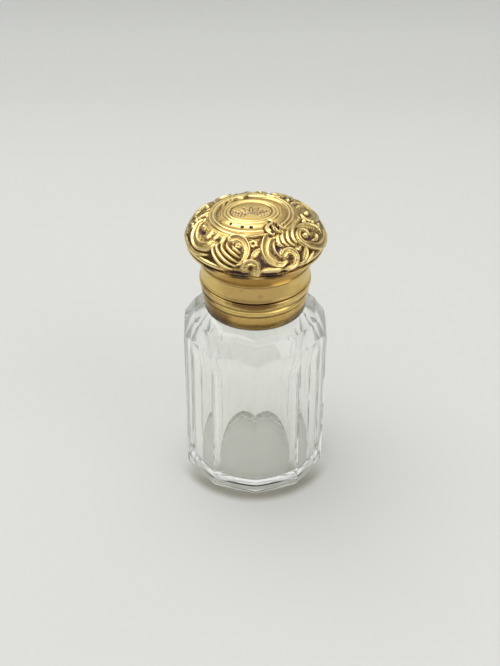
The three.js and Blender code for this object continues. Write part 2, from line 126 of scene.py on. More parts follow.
# 0 below 0, 1 above 1 and an even rise between them: three x squared less two x cubed.
def easeRise(x):
    x = np.clip(x, 0, 1)
    return x * x * (3 - 2 * x)


# Quadratic arc between two points, drawn towards the one between them.
def arcPoints(start, middle, end, steps):
    t = np.linspace(0, 1, steps + 1)[:, None]
    start, middle, end = (np.array(p, float) for p in (start, middle, end))
    return (1 - t) ** 2 * start + 2 * t * (1 - t) * middle + t ** 2 * end


# A run of (radius, height) corners, where a third number rounds a corner: a quadratic arc leaves and joins the
# two straight runs at that distance from it.
def roundedProfile(corners, steps=4):
    out = [np.array(corners[0][:2], float)]
    for before, here, after in zip(corners[:-2], corners[1:-1], corners[2:]):
        corner = np.array(here[:2], float)
        if len(here) < 3:
            out.append(corner)
            continue
        toBefore, toAfter = np.array(before[:2]) - corner, np.array(after[:2]) - corner
        lengths = np.hypot(*toBefore), np.hypot(*toAfter)
        cut = min(here[2], 0.45 * lengths[0], 0.45 * lengths[1])
        start, end = corner + toBefore / lengths[0] * cut, corner + toAfter / lengths[1] * cut
        out.extend(arcPoints(start, corner, end, steps))
    out.append(np.array(corners[-1][:2], float))
    return np.array(out)


# The view: fitted to the photograph, in millimetres and degrees
view = Settings(
    target=(-1.32, 0.0, 41.549), distance=334.088, pitch=36.989, turn=-1.24, roll=0.202,
    focalPixels=1228.92, imageHeight=666, sensor=36.0,
)


# The camera stands off its target by the distance, pitched down, turned about the vertical and rolled.
def makeCamera():
    data = bpy.data.cameras.new("photoCamera")
    data.sensor_width = view.sensor
    data.lens = view.focalPixels * view.sensor / view.imageHeight
    data.clip_start = 0.005
    pitch = math.radians(view.pitch)
    back = np.array([0.0, -math.cos(pitch), math.sin(pitch)]) * view.distance
    place = (np.array(view.target) + back) * mm
    camera = addObject("photoCamera", data)
    camera.matrix_world = (Matrix.Rotation(math.radians(view.turn), 4, "Z")
                           @ Matrix.Translation(place.tolist())
                           @ Matrix.Rotation(math.radians(90) - pitch, 4, "X")
                           @ Matrix.Rotation(math.radians(view.roll), 4, "Z"))
    bpy.context.scene.camera = camera


# The glass body, in millimetres
glassBody = Settings(
    sides=10, flatSteps=16, cornerSteps=5, cornerRadius=20.0, edgeRound=0.18, creaseRound=0.3,
    baseBevelHeight=1.2, baseBevelInset=0.45, footWidth=3.0,
    shoulderHeight=45.0, shoulderArch=1.4, shoulderBevelHeight=4.7, shoulderBevelInset=3.0,
    seatHeight=52.1, seatRadius=13.5, neckRadius=10.4, neckTop=61.2,
    cavityRadius=13.8, cavityFloor=1.2, cavityFloorRise=2.2, cavityFloorRound=4.6, cavityShoulderStart=37.0,
    boreFoot=50.0, boreFootRadius=4.7, boreTopRadius=5.15,
)


# The columns of a rounded polygon: each has the bearing of its face, a place along that face from -1 to 1, and
# the bearing of its outward normal, which turns from one face to the next over the corner's own columns.
def polygonColumns():
    g = glassBody
    step = 2 * np.pi / g.sides
    along = np.append(np.linspace(-1, 1, g.flatSteps + 1), np.ones(g.cornerSteps))
    turn = np.append(np.zeros(g.flatSteps + 1), np.arange(1, g.cornerSteps + 1) / (g.cornerSteps + 1))
    face = (np.repeat(np.arange(g.sides), len(along)) + 0.5) * step
    return face, np.tile(along, g.sides), face + np.tile(turn, g.sides) * step


# One rounded polygon outline: the sharp outline is drawn in by the edge radius and each of its points is
# pushed out again along that column's normal.
def polygonRing(apothem, face, along, normal):
    inner = apothem - glassBody.edgeRound
    half = inner * math.tan(math.pi / glassBody.sides)
    x = inner * np.sin(face) + along * half * np.cos(face) + glassBody.edgeRound * np.sin(normal)
    y = -inner * np.cos(face) + along * half * np.sin(face) - glassBody.edgeRound * np.cos(normal)
    return x, y


# The outline's rows, raised to an arch over each panel at the shoulder, then the neck and the bore down to the
# cavity: quarter ellipses for its shoulder and its floor's edge, with a straight wall between them.
def makeGlassBody(material):
    g = glassBody
    columns = polygonColumns()
    faceCos = math.cos(math.pi / g.sides)
    body = g.cornerRadius * faceCos
    foot = body - g.baseBevelInset * faceCos
    crease = g.creaseRound
    outline = roundedProfile([
        (foot - g.footWidth, 0), (foot, 0, crease),
        (body, g.baseBevelHeight, crease), (body, g.shoulderHeight, crease),
        (body - g.shoulderBevelInset * faceCos, g.shoulderHeight + g.shoulderBevelHeight, crease),
        (g.seatRadius, g.seatHeight),
    ])
    rows = []
    for apothem, height in outline[:-1]:
        arched = abs(height - g.shoulderHeight) < 2 * crease
        lift = arched * g.shoulderArch * (1 - columns[1] ** 2)
        rows.append(pointsFrom(*polygonRing(apothem, *columns), height + lift))
    turned = roundedProfile([
        (g.seatRadius, g.seatHeight), (g.neckRadius, g.seatHeight, 0.4),
        (g.neckRadius, g.neckTop, 0.6), (g.boreTopRadius, g.neckTop, 0.4),
        (g.boreFootRadius, g.boreFoot),
    ])
    swing = quarterTurn(42)
    floorStart, floorFlat = g.cavityFloor + g.cavityFloorRise, g.cavityRadius - g.cavityFloorRound
    shoulder = ellipse((g.boreFootRadius, g.cavityShoulderStart),
                       (g.cavityRadius - g.boreFootRadius, g.boreFoot - g.cavityShoulderStart), swing[-2::-1])
    wall = np.linspace((g.cavityRadius, g.cavityShoulderStart), (g.cavityRadius, floorStart), 12)[1:]
    floor = ellipse((floorFlat, floorStart), (g.cavityFloorRound, -g.cavityFloorRise), swing[1:])
    base = np.linspace((floorFlat, g.cavityFloor), (0, g.cavityFloor), 8)[1:]
    inside = np.concatenate([turned, shoulder, wall, floor, base])
    count = len(rows[0])
    bearing = np.arctan2(rows[0][0, 0], -rows[0][0, 1]) + fullTurn(count)
    inside = around(bearing, inside[:, :1], inside[:, 1:])
    points = np.concatenate([np.zeros((1, count, 3)), rows, inside])
    return makeMesh("glassBody", points, material, "bottle", ["glass_bottle"])


# Turned pieces. A closed run of (radius, height) points is carried round the axis: the point at bearing b
# and profile place k is (r sin b, -r cos b, z). A run that starts and ends on the axis closes there.
def makeTurned(name, profile, material, body, node, turns=288):
    profile = np.asarray(profile, float)
    points = around(fullTurn(turns), profile[:, :1], profile[:, 1:])
    return makeMesh(name, points, material, body, [node], poles=profile[0, 0] == 0)


# Half round moulding between two heights: r = base + stand sqrt(1 - t squared) for t from -1 to 1.
def moulding(base, stand, low, high, steps=12):
    t = np.linspace(-1, 1, steps + 1)
    return pointsFrom(base + stand * np.sqrt(np.clip(1 - t * t, 0, 1)), low + (high - low) * (t + 1) / 2)


# Every corner of a profile keeps two close points beside it, so that smooth shading stays crisp there.
def crisp(profile, edge=0.05):
    profile = np.asarray(profile, float)
    out = []
    for i, here in enumerate(profile):
        before, after = profile[i - 1], profile[(i + 1) % len(profile)]
        a, b = here - before, after - here
        la, lb = np.hypot(*a), np.hypot(*b)
        if la < 1e-9 or lb < 1e-9 or a @ b / (la * lb) > 0.94:
            out.append(here)
            continue
        out.append(here - a / la * min(edge, la / 3))
        out.append(here + b / lb * min(edge, lb / 3))
    return np.array(out)


# The collar: tapered band, small half round between two grooves, larger bead, shelf
neckCollar = Settings(
    bore=12.95, foot=52.4, footRadius=13.45,
    bandTop=56.55, bandRadius=13.9,
    grooveDepth=0.2, grooveHeight=0.45,
    ringFoot=57.0, ringTop=58.2, ringStand=0.3,
    beadFoot=58.65, beadStand=0.47,
    top=61.1, shelfRadius=14.4, shelfBore=10.7, sheet=0.5,
)


# The bead leans outwards with the shelf over it.
def makeCollar(material):
    c = neckCollar
    floor = c.bandRadius - c.grooveDepth
    bead = moulding(c.bandRadius, c.beadStand, c.beadFoot, c.top, 16)
    lean = (c.shelfRadius - c.bandRadius) / (c.top - c.beadFoot)
    bead[:, 0] += lean * (bead[:, 1] - c.beadFoot)
    profile = [
        (c.bore, c.foot), (c.footRadius, c.foot), (c.bandRadius, c.bandTop),
        (floor, c.bandTop + c.grooveHeight / 2),
        *moulding(c.bandRadius, c.ringStand, c.ringFoot, c.ringTop),
        (floor, c.ringTop + c.grooveHeight / 2), *bead,
        (c.shelfBore, c.top), (c.shelfBore, c.top - c.sheet), (c.bore, c.top - c.sheet),
    ]
    return makeTurned("neckCollar", crisp(profile), material, "bottle", "neck_collar")


# The bezel that the lid snaps over: an upright ring with a half round lip
collarBezel = Settings(radius=13.5, sheet=0.5, foot=61.4, top=64.1)


def makeBezel(material):
    b = collarBezel
    half = b.sheet / 2
    lip = ellipse((b.radius - half, b.top - half), half, np.linspace(0, np.pi, 9))
    profile = [(b.radius - b.sheet, b.foot), (b.radius, b.foot), *lip]
    return makeTurned("collarBezel", crisp(profile), material, "bottle", "collar_bezel")


# The lid's band: foot moulding, plain wall, step, and the hollow flare that turns in under the dome
lidBand = Settings(
    bore=13.85, foot=61.4, footRadius=14.4, footHeight=0.7, radius=14.28,
    top=66.2, stepStand=0.32, stepHeight=0.7,
    flareHollow=0.15, flareRadius=17.8, flareTop=71.9, flareLip=0.5, seat=1.1, sheet=0.5,
)


# The flare's outer and inner sides are quadratic arcs, drawn in at their middle. The foot is plain up to the
# middle of its half round moulding.
def makeBand(material):
    b = lidBand
    flareFoot, lipFoot = b.top + b.stepHeight, b.flareTop - b.flareLip
    seat = b.flareRadius - b.seat
    middle = (b.radius + b.flareRadius) / 2 - b.flareHollow
    outer = arcPoints((b.radius, flareFoot), (middle, (flareFoot + lipFoot) / 2), (b.flareRadius, lipFoot), 24)
    inner = arcPoints((b.bore, flareFoot), (middle - b.sheet, (flareFoot + lipFoot) / 2), (seat, lipFoot), 24)
    foot = moulding(b.radius, b.footRadius - b.radius, b.foot + 0.1, b.foot + b.footHeight)
    profile = [
        (b.bore, b.foot), (b.footRadius, b.foot), *foot[6:], (b.radius, b.top),
        *moulding(b.radius, b.stepStand, b.top + 0.08, flareFoot - 0.05),
        *outer[1:], (b.flareRadius, b.flareTop), (seat, b.flareTop), *inner[::-1],
    ]
    return makeTurned("lidBand", crisp(profile), material, "lid", "lid_band")


# Plaster between the neck and the collar
neckCement = Settings(inner=10.7, outer=12.65, foot=52.4, top=60.3)


def makeCement(material):
    c = neckCement
    profile = [(c[radius], c[height]) for radius, height in (
        ("inner", "foot"), ("outer", "foot"), ("outer", "top"), ("inner", "top"))]
    return makeTurned("neckCement", crisp(profile, 0.2), material, "bottle", "neck_cement", turns=96)


# The stopper: a tapered plug with a chamfered foot, a waist and a flat round head
stopper = Settings(
    plugFoot=53.0, plugFootRadius=4.52, chamfer=0.3, plugTop=61.2, plugTopRadius=4.85,
    waist=4.3, headFoot=62.2, headRadius=7.6, headTop=66.3, headRound=1.1, topDish=0.12,
)


# The corners of its profile are rounded, the foot and the head's dish run to the axis.
def makeStopper(material):
    s = stopper
    corners = [
        (0, s.plugFoot), (s.plugFootRadius - s.chamfer, s.plugFoot, 0.08),
        (s.plugFootRadius, s.plugFoot + s.chamfer, 0.08),
        (s.plugTopRadius, s.plugTop, 0.25), (s.waist, s.headFoot, 0.35),
        (s.headRadius, s.headFoot, s.headRound), (s.headRadius, s.headTop, s.headRound),
        (s.headRadius * 0.62, s.headTop, 0.5), (0, s.headTop - s.topDish),
    ]
    return makeTurned("glassStopper", roundedProfile(corners, 7), material, "stopper", "glass_stopper",
                      turns=160)


# The hinge: three knuckles with their soldered leaves, and the pin
hinge = Settings(
    y=15.95, z=61.25, radius=1.25, bore=0.68, pin=0.38, pinRound=0.19, pinHalf=4.7,
    bevel=0.14, leafHeight=2.7, leafInner=-1.93, leafSplit=0.55, leafThickness=0.75,
    collarWall=14.62, lidWall=14.4, wallGap=0.3,
    lidFrom=-1.35, lidTo=1.35, fixedFrom=1.65, fixedTo=4.35,
)


# A knuckle's outline across the pin, walked round once: an arc over the top of the tube, then down and
# round its leaf. Points are (y, z) from the pin, evenly spread by length.
def knuckleOutline(side, wall, count=96):
    h = hinge
    leafOuter = wall + h.wallGap + h.leafThickness - h.y
    shoulder = math.sqrt(h.radius ** 2 - leafOuter ** 2)
    swing = np.linspace(math.atan2(shoulder, leafOuter), -math.pi - math.asin(h.leafSplit / h.radius), 49)
    arc = ellipse((0, 0), h.radius, swing)
    top, inner = h.leafHeight, h.leafInner
    leaf = [(inner, h.leafSplit), (inner, top - 0.3), (inner + 0.3, top), (leafOuter - 0.15, top),
            (leafOuter, top - 0.15), (leafOuter, shoulder + 0.05)]
    loop = np.concatenate([arc, leaf, arc[:1]])
    length = lengthAlong(loop)
    at = np.arange(count) / count * length[-1]
    return pointsFrom(np.interp(at, length, loop[:, 0]), side * np.interp(at, length, loop[:, 1]))


# The outline is drawn in by the bevel at each end face, and the bore is walked back inside it, so the rows
# close on themselves like a ring. The face towards the mount is clamped to that round wall.
def makeKnuckle(name, start, end, side, wall, material, body, node):
    h = hinge
    outline = knuckleOutline(side, wall)
    angle = np.unwrap(np.arctan2(outline[:, 1], outline[:, 0]))
    angle = np.linspace(angle[0], angle[-1], len(angle))
    bore = ellipse((0, 0), h.bore, angle)
    ahead = np.roll(outline, -1, 0) - np.roll(outline, 1, 0)
    inward = pointsFrom(ahead[:, 1], -ahead[:, 0])
    inward /= np.hypot(*inward.T)[:, None]
    inward *= -np.sign(np.sum(inward * outline))
    bevel = h.bevel
    grow = 1 + bevel / h.bore / 2
    rows = [(x, outline + inward * draw) for x, draw in (
        (start, bevel), (start + bevel / 3, bevel / 3), (start + bevel, 0),
        (end - bevel, 0), (end - bevel / 3, bevel / 3), (end, bevel))]
    rows += [(x, bore * scale) for x, scale in (
        (end, grow), (end - bevel / 2, 1), (start + bevel / 2, 1), (start, grow))]
    points = np.array([np.insert(p + (h.y, h.z), 0, x, axis=1) for x, p in rows])
    roundWall = np.sqrt((wall + 0.03) ** 2 - points[..., 0] ** 2)
    onLeaf = side * (points[..., 2] - h.z) > h.leafSplit * 0.9
    points[..., 1] = np.where(onLeaf, np.maximum(points[..., 1], roundWall), points[..., 1])
    return faceOutwards(makeMesh(name, points, material, body, [node], poles=False))


# The pin's profile, with quarter round ends, carried round the line of the hinge.
def makePin(material):
    h = hinge
    nose = ellipse((h.pin - h.pinRound, h.pinHalf - h.pinRound), h.pinRound, quarterTurn(6)[::-1])
    half = np.concatenate([[(0, h.pinHalf)], nose])
    profile = np.concatenate([half * (1, -1), half[::-1]])
    r, x, turn = profile[:, :1], profile[:, 1:], fullTurn(32)
    points = pointsFrom(x, h.y + r * np.cos(turn), h.z + r * np.sin(turn))
    return faceOutwards(makeMesh("hingePin", points, material, "bottle", ["hinge_pin"]))


# The dome: a squared round ground with chased ornament on it. Every place is a bearing in degrees from the
# front and a plan radius, measured on a dome of placesRadius.
lidDome = Settings(
    radius=18.3, height=7.5, foot=72.6, squareness=2.2, placesRadius=18.1,
    relief=0.85, rim=71.95, wall=0.62, seam=9.12, seamDip=0.03,
    columns=640, columnStep=0.165, rows=138, innerRows=18,
    crownColumns=448, crownRows=150, crownThickness=0.6,
    groundNear=0.42, groundFrom=11.2, groundTo=13.6,
    crownAcross=-1.1, crownBack=1.0, crownOval=0.1,
    crownReach=11, ovalFade=5, blur=0.9, topLimit=79.81, swellReach=1.8, swelling=0.4,
    ribHeight=0.1, laidGroove=0.3, punchDepth=0.3, engravedDepth=0.09,
    cordUp=0.5, cordHalf=0.62, cordHeight=0.78, cordTwists=150,
    cordShare=[
        (0, 0.3), (2, 0.1), (12, 0.1), (16, 0.5), (22, 0.2), (28, 0.75), (40, 0.5), (55, 0.9), (140, 1.0),
        (148, 0.8), (154, 0.25), (158, 0.05), (168, 0.15), (171, 0.05), (177, 0.1), (180, 0.3),
    ],
)

# How far each ring of the crown lies below the dome's outline, by distance from the crown's own centre.
crownSunk = [
    (0, 0.4), (4.7, 0.46), (4.9, 0.42), (5.05, 0.22), (5.3, 0.15), (5.6, 0.2), (5.75, 0.34), (5.95, 0.2),
    (6.25, 0.14), (6.6, 0.24), (6.85, 0.44), (7.1, 0.34), (7.35, 0.46), (7.9, 0.64), (8.6, 0.6), (8.95, 0.42),
    (9.1, 0.18), (9.4, 0.05), (9.7, 0.1), (9.9, 0.3), (10.15, 0.34), (10.35, 0.16), (10.6, 0.1), (10.85, 0.18),
    (11.05, 0.36), (11.4, 0.43),
]

# Half of the ornament, which repeats half way round. A strand has a form (scroll, round or vein), half width,
# height, ends (pointed, tail or full), the pitch of its fine cross ribs or 0, and its places.
ornament = [
    # left scroll and the leaves beside it
    ("scroll", 1.55, 0.95, "tail", 0,
     [(-47, 14.4), (-51, 16), (-61.5, 16.9), (-72, 16.6), (-81, 15.6), (-88, 14.4), (-89, 13),
      (-83, 12), (-76, 12.5)]),
    ("round", 0.75, 0.95, "full", 0, [(-77.5, 13.4), (-76, 13.6)]),
    ("vein", 0.85, 0.7, "pointed", 0.5, [(-66, 11.7), (-61, 13), (-60, 14.8)]),
    ("vein", 0.8, 0.65, "pointed", 0.5, [(-57, 10.9), (-52.5, 12.2), (-52, 13.8)]),
    ("round", 0.55, 0.8, "pointed", 0.5, [(-72, 17.9), (-60, 17.95), (-50, 17.6), (-45, 17.2)]),
    ("vein", 0.8, 0.6, "pointed", 0.45, [(-45.5, 11), (-42, 12.4), (-41, 14)]),
    # acanthus group: ribs side by side under a scroll
    ("round", 0.55, 0.95, "pointed", 0, [(-46, 15), (-43, 16.2), (-37, 17.2), (-29.5, 17.8), (-20, 18)]),
    ("round", 0.58, 1.0, "pointed", 0, [(-43.5, 13.8), (-41.5, 15.1), (-34, 16.4), (-26, 17.2), (-17.5, 17.6)]),
    ("round", 0.58, 1.0, "pointed", 0, [(-39, 13.2), (-36.5, 14.6), (-30.5, 15.7), (-23.5, 16.4), (-16, 17)]),
    ("round", 0.55, 0.95, "pointed", 0, [(-34.5, 12.8), (-32, 13.9), (-26, 14.9), (-20.5, 15.5), (-15.5, 16)]),
    ("round", 0.45, 0.8, "pointed", 0, [(-27.5, 13.2), (-24, 14), (-20, 14.4), (-16, 15)]),
    ("scroll", 1.3, 1.1, "tail", 0,
     [(-33.5, 12.3), (-31, 11.5), (-26, 10.9), (-17, 11.3), (-11, 12.9), (-9.6, 14.9), (-12.5, 16.6), (-17, 17.4)]),
    ("round", 0.5, 0.85, "full", 0, [(-45.2, 12.2), (-44.6, 12.5)]),
    # slender leaf, arch and rim leaf at the front
    ("scroll", 0.8, 0.85, "pointed", 0.5, [(-5, 16.3), (-3.2, 15.1), (1, 14.1), (5.4, 13.3)]),
    ("scroll", 0.95, 0.95, "full", 0.45, [(-11.5, 17.7), (-8.5, 16.9), (-4, 16.7), (-0.8, 17.3), (-0.5, 18.1)]),
    ("vein", 0.7, 0.75, "pointed", 0.45, [(1.5, 18), (8, 17.9), (15, 17.95), (21, 18)]),
    # scroll to the right of the front
    ("scroll", 1.65, 1.1, "tail", 0,
     [(29, 9.7), (20, 9.9), (13, 11), (8.8, 13), (8.2, 14.6), (9.8, 15.9), (14.5, 17), (20.5, 17.5), (26, 17.2)]),
    ("round", 0.3, 0.7, "pointed", 0, [(24, 11.4), (19, 12.8), (18.6, 14.7), (21.5, 16)]),
    ("vein", 0.75, 0.8, "pointed", 0, [(60, 8.7), (44, 9.5), (35, 11.2), (32.5, 13), (36, 14.4)]),
    ("vein", 0.6, 0.72, "pointed", 0, [(66, 9.5), (50, 10.3), (41.5, 11.8), (39, 13.3), (42, 14.6)]),
    ("vein", 0.6, 0.68, "pointed", 0, [(70, 10.3), (57, 11), (48.5, 12.2), (45.8, 13.5), (47, 14.6)]),
    ("vein", 0.6, 0.78, "pointed", 0, [(46, 9.2), (35, 9.9), (28.5, 11.2), (26.5, 12.8), (29.5, 14)]),
    ("scroll", 1.1, 0.98, "tail", 0,
     [(24.5, 16), (28.5, 15.2), (33.5, 15.4), (36.4, 16.6), (34.5, 17.7), (29.5, 18), (25, 18)]),
    ("scroll", 0.7, 0.85, "pointed", 0, [(50.5, 16), (47, 17.2), (40.5, 18)]),
    ("round", 0.45, 0.8, "pointed", 0.5, [(38, 17.95), (44, 18.08), (50, 17.95), (57, 17.6)]),
    ("vein", 0.45, 0.5, "pointed", 0, [(39, 15.2), (43, 15.8), (47, 15.4)]),
    # right scroll and what lies behind it
    ("scroll", 1.45, 1.05, "tail", 0,
     [(92, 17.9), (80, 18.05), (67, 17.8), (58, 16.8), (52.4, 15.4), (51.8, 13.8), (57, 12.6), (64, 12.4),
      (68.5, 13.4), (66.5, 14.6)]),
    ("round", 0.8, 1.05, "full", 0, [(60.5, 14.1), (61.5, 14.2)]),
    ("scroll", 1.0, 0.9, "pointed", 0, [(66, 11.2), (74, 12.2), (80, 14), (82, 16), (79, 17.4)]),
    ("round", 0.45, 0.7, "pointed", 0.45, [(62, 16), (69, 16.6), (75, 16)]),
    ("round", 0.7, 0.85, "full", 0, [(83, 12.3), (85, 12.5)]),
    ("vein", 0.75, 0.7, "pointed", 0, [(94, 10.7), (86, 11), (78, 10.7)]),
    ("vein", 0.7, 0.7, "pointed", 0, [(93, 13.6), (90, 12.6), (90, 11.4)]),
]

# Flowers, which repeat too: bearing, radius, count of petals, size, a petal's half width, height.
flowers = [
    (-21, 12.9, 5, 0.9, 0.4, 0.5), (-4.2, 11.9, 6, 1.35, 0.52, 0.55), (89, 15.6, 5, 1.6, 0.6, 0.65),
]

# Sunk places between the strands, their colour darkened as painted shade and tarnish: bearing, radius, half
# lengths across and up, depth. Those outside the crown repeat half way round.
recesses = [
    (-72, 14.5, 1.3, 1.0, 0.4), (-69, 17.3, 0.7, 0.5, 0.3), (-47, 16.7, 0.9, 0.7, 0.3),
    (-40.5, 16.2, 0.5, 0.9, 0.35), (-29, 15.4, 0.45, 1.1, 0.3), (-20, 13.9, 1.0, 0.6, 0.25),
    (3.6, 16.7, 1.15, 1.5, 0.45), (21.5, 14.2, 1.5, 1.7, 0.5), (29, 16.6, 0.8, 0.7, 0.4),
    (22, 18.1, 1.3, 0.5, 0.35), (-16, 18.1, 1.6, 0.4, 0.3), (62, 14.9, 0.8, 0.6, 0.3),
    (77, 16.4, 0.4, 0.4, 0.4), (74, 14.4, 0.9, 0.6, 0.3), (46, 16, 0.6, 0.7, 0.25), (35, 18.1, 1.2, 0.4, 0.3),
    (-15, 18.1, 3.4, 0.8, 0.3), (10, 18.1, 3.0, 0.8, 0.3), (2, 15.4, 0.7, 0.5, 0.3),
    (-52, 14.8, 0.7, 0.4, 0.25), (37, 5.4, 0.4, 0.3, 0.4), (28, 8.2, 0.35, 0.6, 0.35), (40, 8.2, 0.3, 0.6, 0.3),
]

# Square punched dots, darkened inside with painted shade and tarnish: bearing, radius, half width.
punches = [
    (-31, 6.85, 0.4), (-11.5, 6.3, 0.4), (-56.5, 7.6, 0.3), (-77, 9.1, 0.24), (25.5, 9.3, 0.4),
    (32.5, 8.75, 0.3), (41.5, 8.3, 0.3), (38.5, 7.3, 0.26), (50, 7, 0.26), (30, 7.9, 0.24), (20, 10.2, 0.24),
    (55, 8.4, 0.22),
]

# The leaf that curls over the crown's rings, as for the ornament but not repeated.
crownStrands = [
    ("laid", 0.45, 1.15, "pointed", 0, [(-14, 10.1), (-3, 9.9), (8, 9.5), (17, 9.1)]),
    ("laid", 0.62, 1.15, "pointed", 0, [(50, 10), (45, 8.8), (47, 7.6), (54, 6.8)]),
    ("laid", 0.72, 1.2, "pointed", 0, [(39, 10.3), (33, 9), (34, 7.6), (42, 6.7)]),
    ("laid", 0.8, 1.25, "tail", 0,
     [(26, 9.9), (21, 8.7), (21, 7.4), (28, 6.4), (38, 6.2), (45, 5.5), (41, 4.6), (32, 4.7)]),
]


# The ground's meridian as a table from the rim up. The outline is a squared ellipse: radius times cos and height
# times sin of the swing, each of the two to the power 2 over the squareness. It is drawn in by the relief, and a
# straight run leads down to the rim. Rows: length up, radius, height, normal's outward and upward share, swing.
def makeMeridian():
    d = lidDome
    power = 2 / d.squareness
    swing = quarterTurn(721)
    cos, sin = np.clip(np.cos(swing), 0, 1), np.clip(np.sin(swing), 0, 1)
    slopeR, slopeZ = cos ** (2 - power) / d.radius, sin ** (2 - power) / d.height
    slope = np.hypot(slopeR, slopeZ)
    outward, upward = slopeR / slope, slopeZ / slope
    radius = d.radius * cos ** power - d.relief * outward
    height = d.foot + d.height * sin ** power - d.relief * upward
    up = lengthAlong(pointsFrom(radius, height))
    drop = d.foot - d.rim
    first = [[-drop], [radius[0]], [height[0] - drop], [1.0], [0.0], [0.0]]
    return np.concatenate([first, [up, radius, height, outward, upward, swing]], 1)


meridian = makeMeridian()


# Length up the ground of a measured plan radius: the swing solves radius = R cos(swing) to the power 2/s.
def upAtRadius(radius):
    share = np.clip(np.asarray(radius, float) / lidDome.placesRadius, 0, 1)
    return np.interp(np.arccos(share ** (lidDome.squareness / 2)), meridian[5, 1:], meridian[0, 1:])


# Point of the ground, its normal and its radius at a bearing and a length up, read from the meridian's table.
def groundAt(bearing, up):
    radius, height, outward, upward = (np.interp(up, meridian[0], row) for row in meridian[1:5])
    return around(bearing, radius, height), around(bearing, outward, upward), radius


# A smooth run through places, in equal steps: cubic pieces whose tangents are half the chord between neighbours.
def smoothRun(places, step=0.16):
    chart = np.array([(math.radians(b), float(upAtRadius(r))) for b, r in places])
    tangent = np.gradient(chart, axis=0)
    t = np.linspace(0, 1, 13)[:-1, None]
    run = [(2 * t ** 3 - 3 * t ** 2 + 1) * p0 + (t ** 3 - 2 * t ** 2 + t) * m0
           + (3 * t ** 2 - 2 * t ** 3) * p1 + (t ** 3 - t ** 2) * m1
           for p0, p1, m0, m1 in zip(chart[:-1], chart[1:], tangent[:-1], tangent[1:])]
    run = np.concatenate(run + [chart[-1:]])
    length = lengthAlong(groundAt(run[:, 0], run[:, 1])[0])
    at = np.linspace(0, length[-1], max(int(length[-1] / step), 2) + 1)
    return groundAt(*(np.interp(at, length, run[:, k]) for k in (0, 1)))[0], at


# Width along a strand from 0 to 1: pointed is sin(pi t) to 0.6, tail is blunt at its start and thins to the
# end, full is blunt at both ends.
def taper(ends, t):
    blunt = np.sqrt(np.clip(t / 0.06, 0.02, 1))
    if ends == "pointed":
        return np.clip(np.sin(np.pi * t), 0.02, 1) ** 0.6
    if ends == "tail":
        return blunt * np.clip(1 - t, 0.02, 1) ** 0.4
    return blunt * np.sqrt(np.clip((1 - t) / 0.06, 0.02, 1))


# Section of a strand over s, from -1 at its outer edge to 1 at its inner edge. A scroll has a crest near its
# outer edge, a hollow and a thin inner rim: a low slab plus two bell curves, and a laid strand a higher slab.
def section(form, s):
    q = np.abs(s)
    inside = np.clip(1 - q * q, 0, 1)
    if form == "scroll":
        crest, rim = np.exp(-((s + 0.55) / 0.27) ** 2), np.exp(-((s - 0.62) / 0.17) ** 2)
        return 0.36 * (1 - q ** 4) + 0.64 * crest + 0.3 * rim
    if form == "laid":
        return 0.74 * np.clip(1 - q ** 8, 0, 1) + 0.26 * np.exp(-((s + 0.45) / 0.33) ** 2)
    if form == "vein":
        return 0.7 * inside ** 0.6 + 0.3 * np.clip(1 - q * 3, 0, 1)
    return inside ** 0.55


# A strand rises from a broad low swelling of the sheet under its own section. Its inner side is the one that its
# path curves towards. A groove, a bell curve, runs round a laid strand.
def addStrand(height, points, normals, path, along, form, width, peak, ends, ribs):
    reach = lidDome.swellReach
    low, high = path.min(0) - reach * width, path.max(0) + reach * width
    near = np.flatnonzero(np.all((points > low) & (points < high), 1))
    size = width * taper(ends, along / along[-1])
    gap = np.linalg.norm(points[near, None, :] - path[None, :, :], axis=2)
    best = np.argmin(gap / size, 1)
    q = gap[np.arange(len(near)), best] / size[best]
    near, best, q = (part[q < reach] for part in (near, best, q))
    if not len(near):
        return
    ahead = np.gradient(path, axis=0)
    across = np.sum(np.cross(normals[near], ahead[best]) * (points[near] - path[best]), 1)
    turning = np.sum(np.cross(ahead[:-1], ahead[1:]) @ normals[near].mean(0))
    s = np.where(q < 1, q, 1) * np.sign(across) * (1 if turning >= 0 else -1)
    full = peak * (0.5 + 0.5 * size[best] / width)
    swelling = lidDome.swelling * full * (1 - (q / reach) ** 2) ** 2
    rise = full * section(form, s)
    if ribs:
        rise += lidDome.ribHeight * np.cos(2 * np.pi * along[best] / ribs + 2 * s) * np.exp(-(s / 0.6) ** 2)
    if form == "laid":
        height[near] -= lidDome.laidGroove * np.exp(-((q - 1.12) / 0.28) ** 2)
    height[near] = np.maximum(height[near], np.where(q < 1, np.maximum(rise, swelling), swelling))


# A flower: short petals set out from its middle in equal turns, and a boss.
def addFlower(height, points, normals, bearing, radius, petals, size, width, peak):
    up = float(upAtRadius(radius))
    middle, _, reach = groundAt(np.array([bearing]), np.array([up]))
    out = size * np.array([0.3, 0.6, 0.9])
    for angle in fullTurn(petals):
        path = groundAt(bearing + out * math.sin(angle) / reach[0], up + out * math.cos(angle))[0]
        addStrand(height, points, normals, path, np.array([0, 0.5, 1.0]), "round", width, peak, "full", 0)
    boss = np.repeat(middle, 2, 0)
    addStrand(height, points, normals, boss, np.array([0, 1.0]), "round", 0.42, peak + 0.15, "full", 0)


# Place on the crown: the plan place from the crown's own centre, drawn out sideways into an oval that is round
# again at its outer rings.
def crownPlace(bearing, planRadius):
    d = lidDome
    x = planRadius * np.sin(bearing) - d.crownAcross
    y = -planRadius * np.cos(bearing) - d.crownBack
    oval = d.crownOval * np.clip((d.crownReach - np.hypot(x, y)) / d.ovalFade, 0, 1)
    return x / (1 + oval), y / (1 - oval)
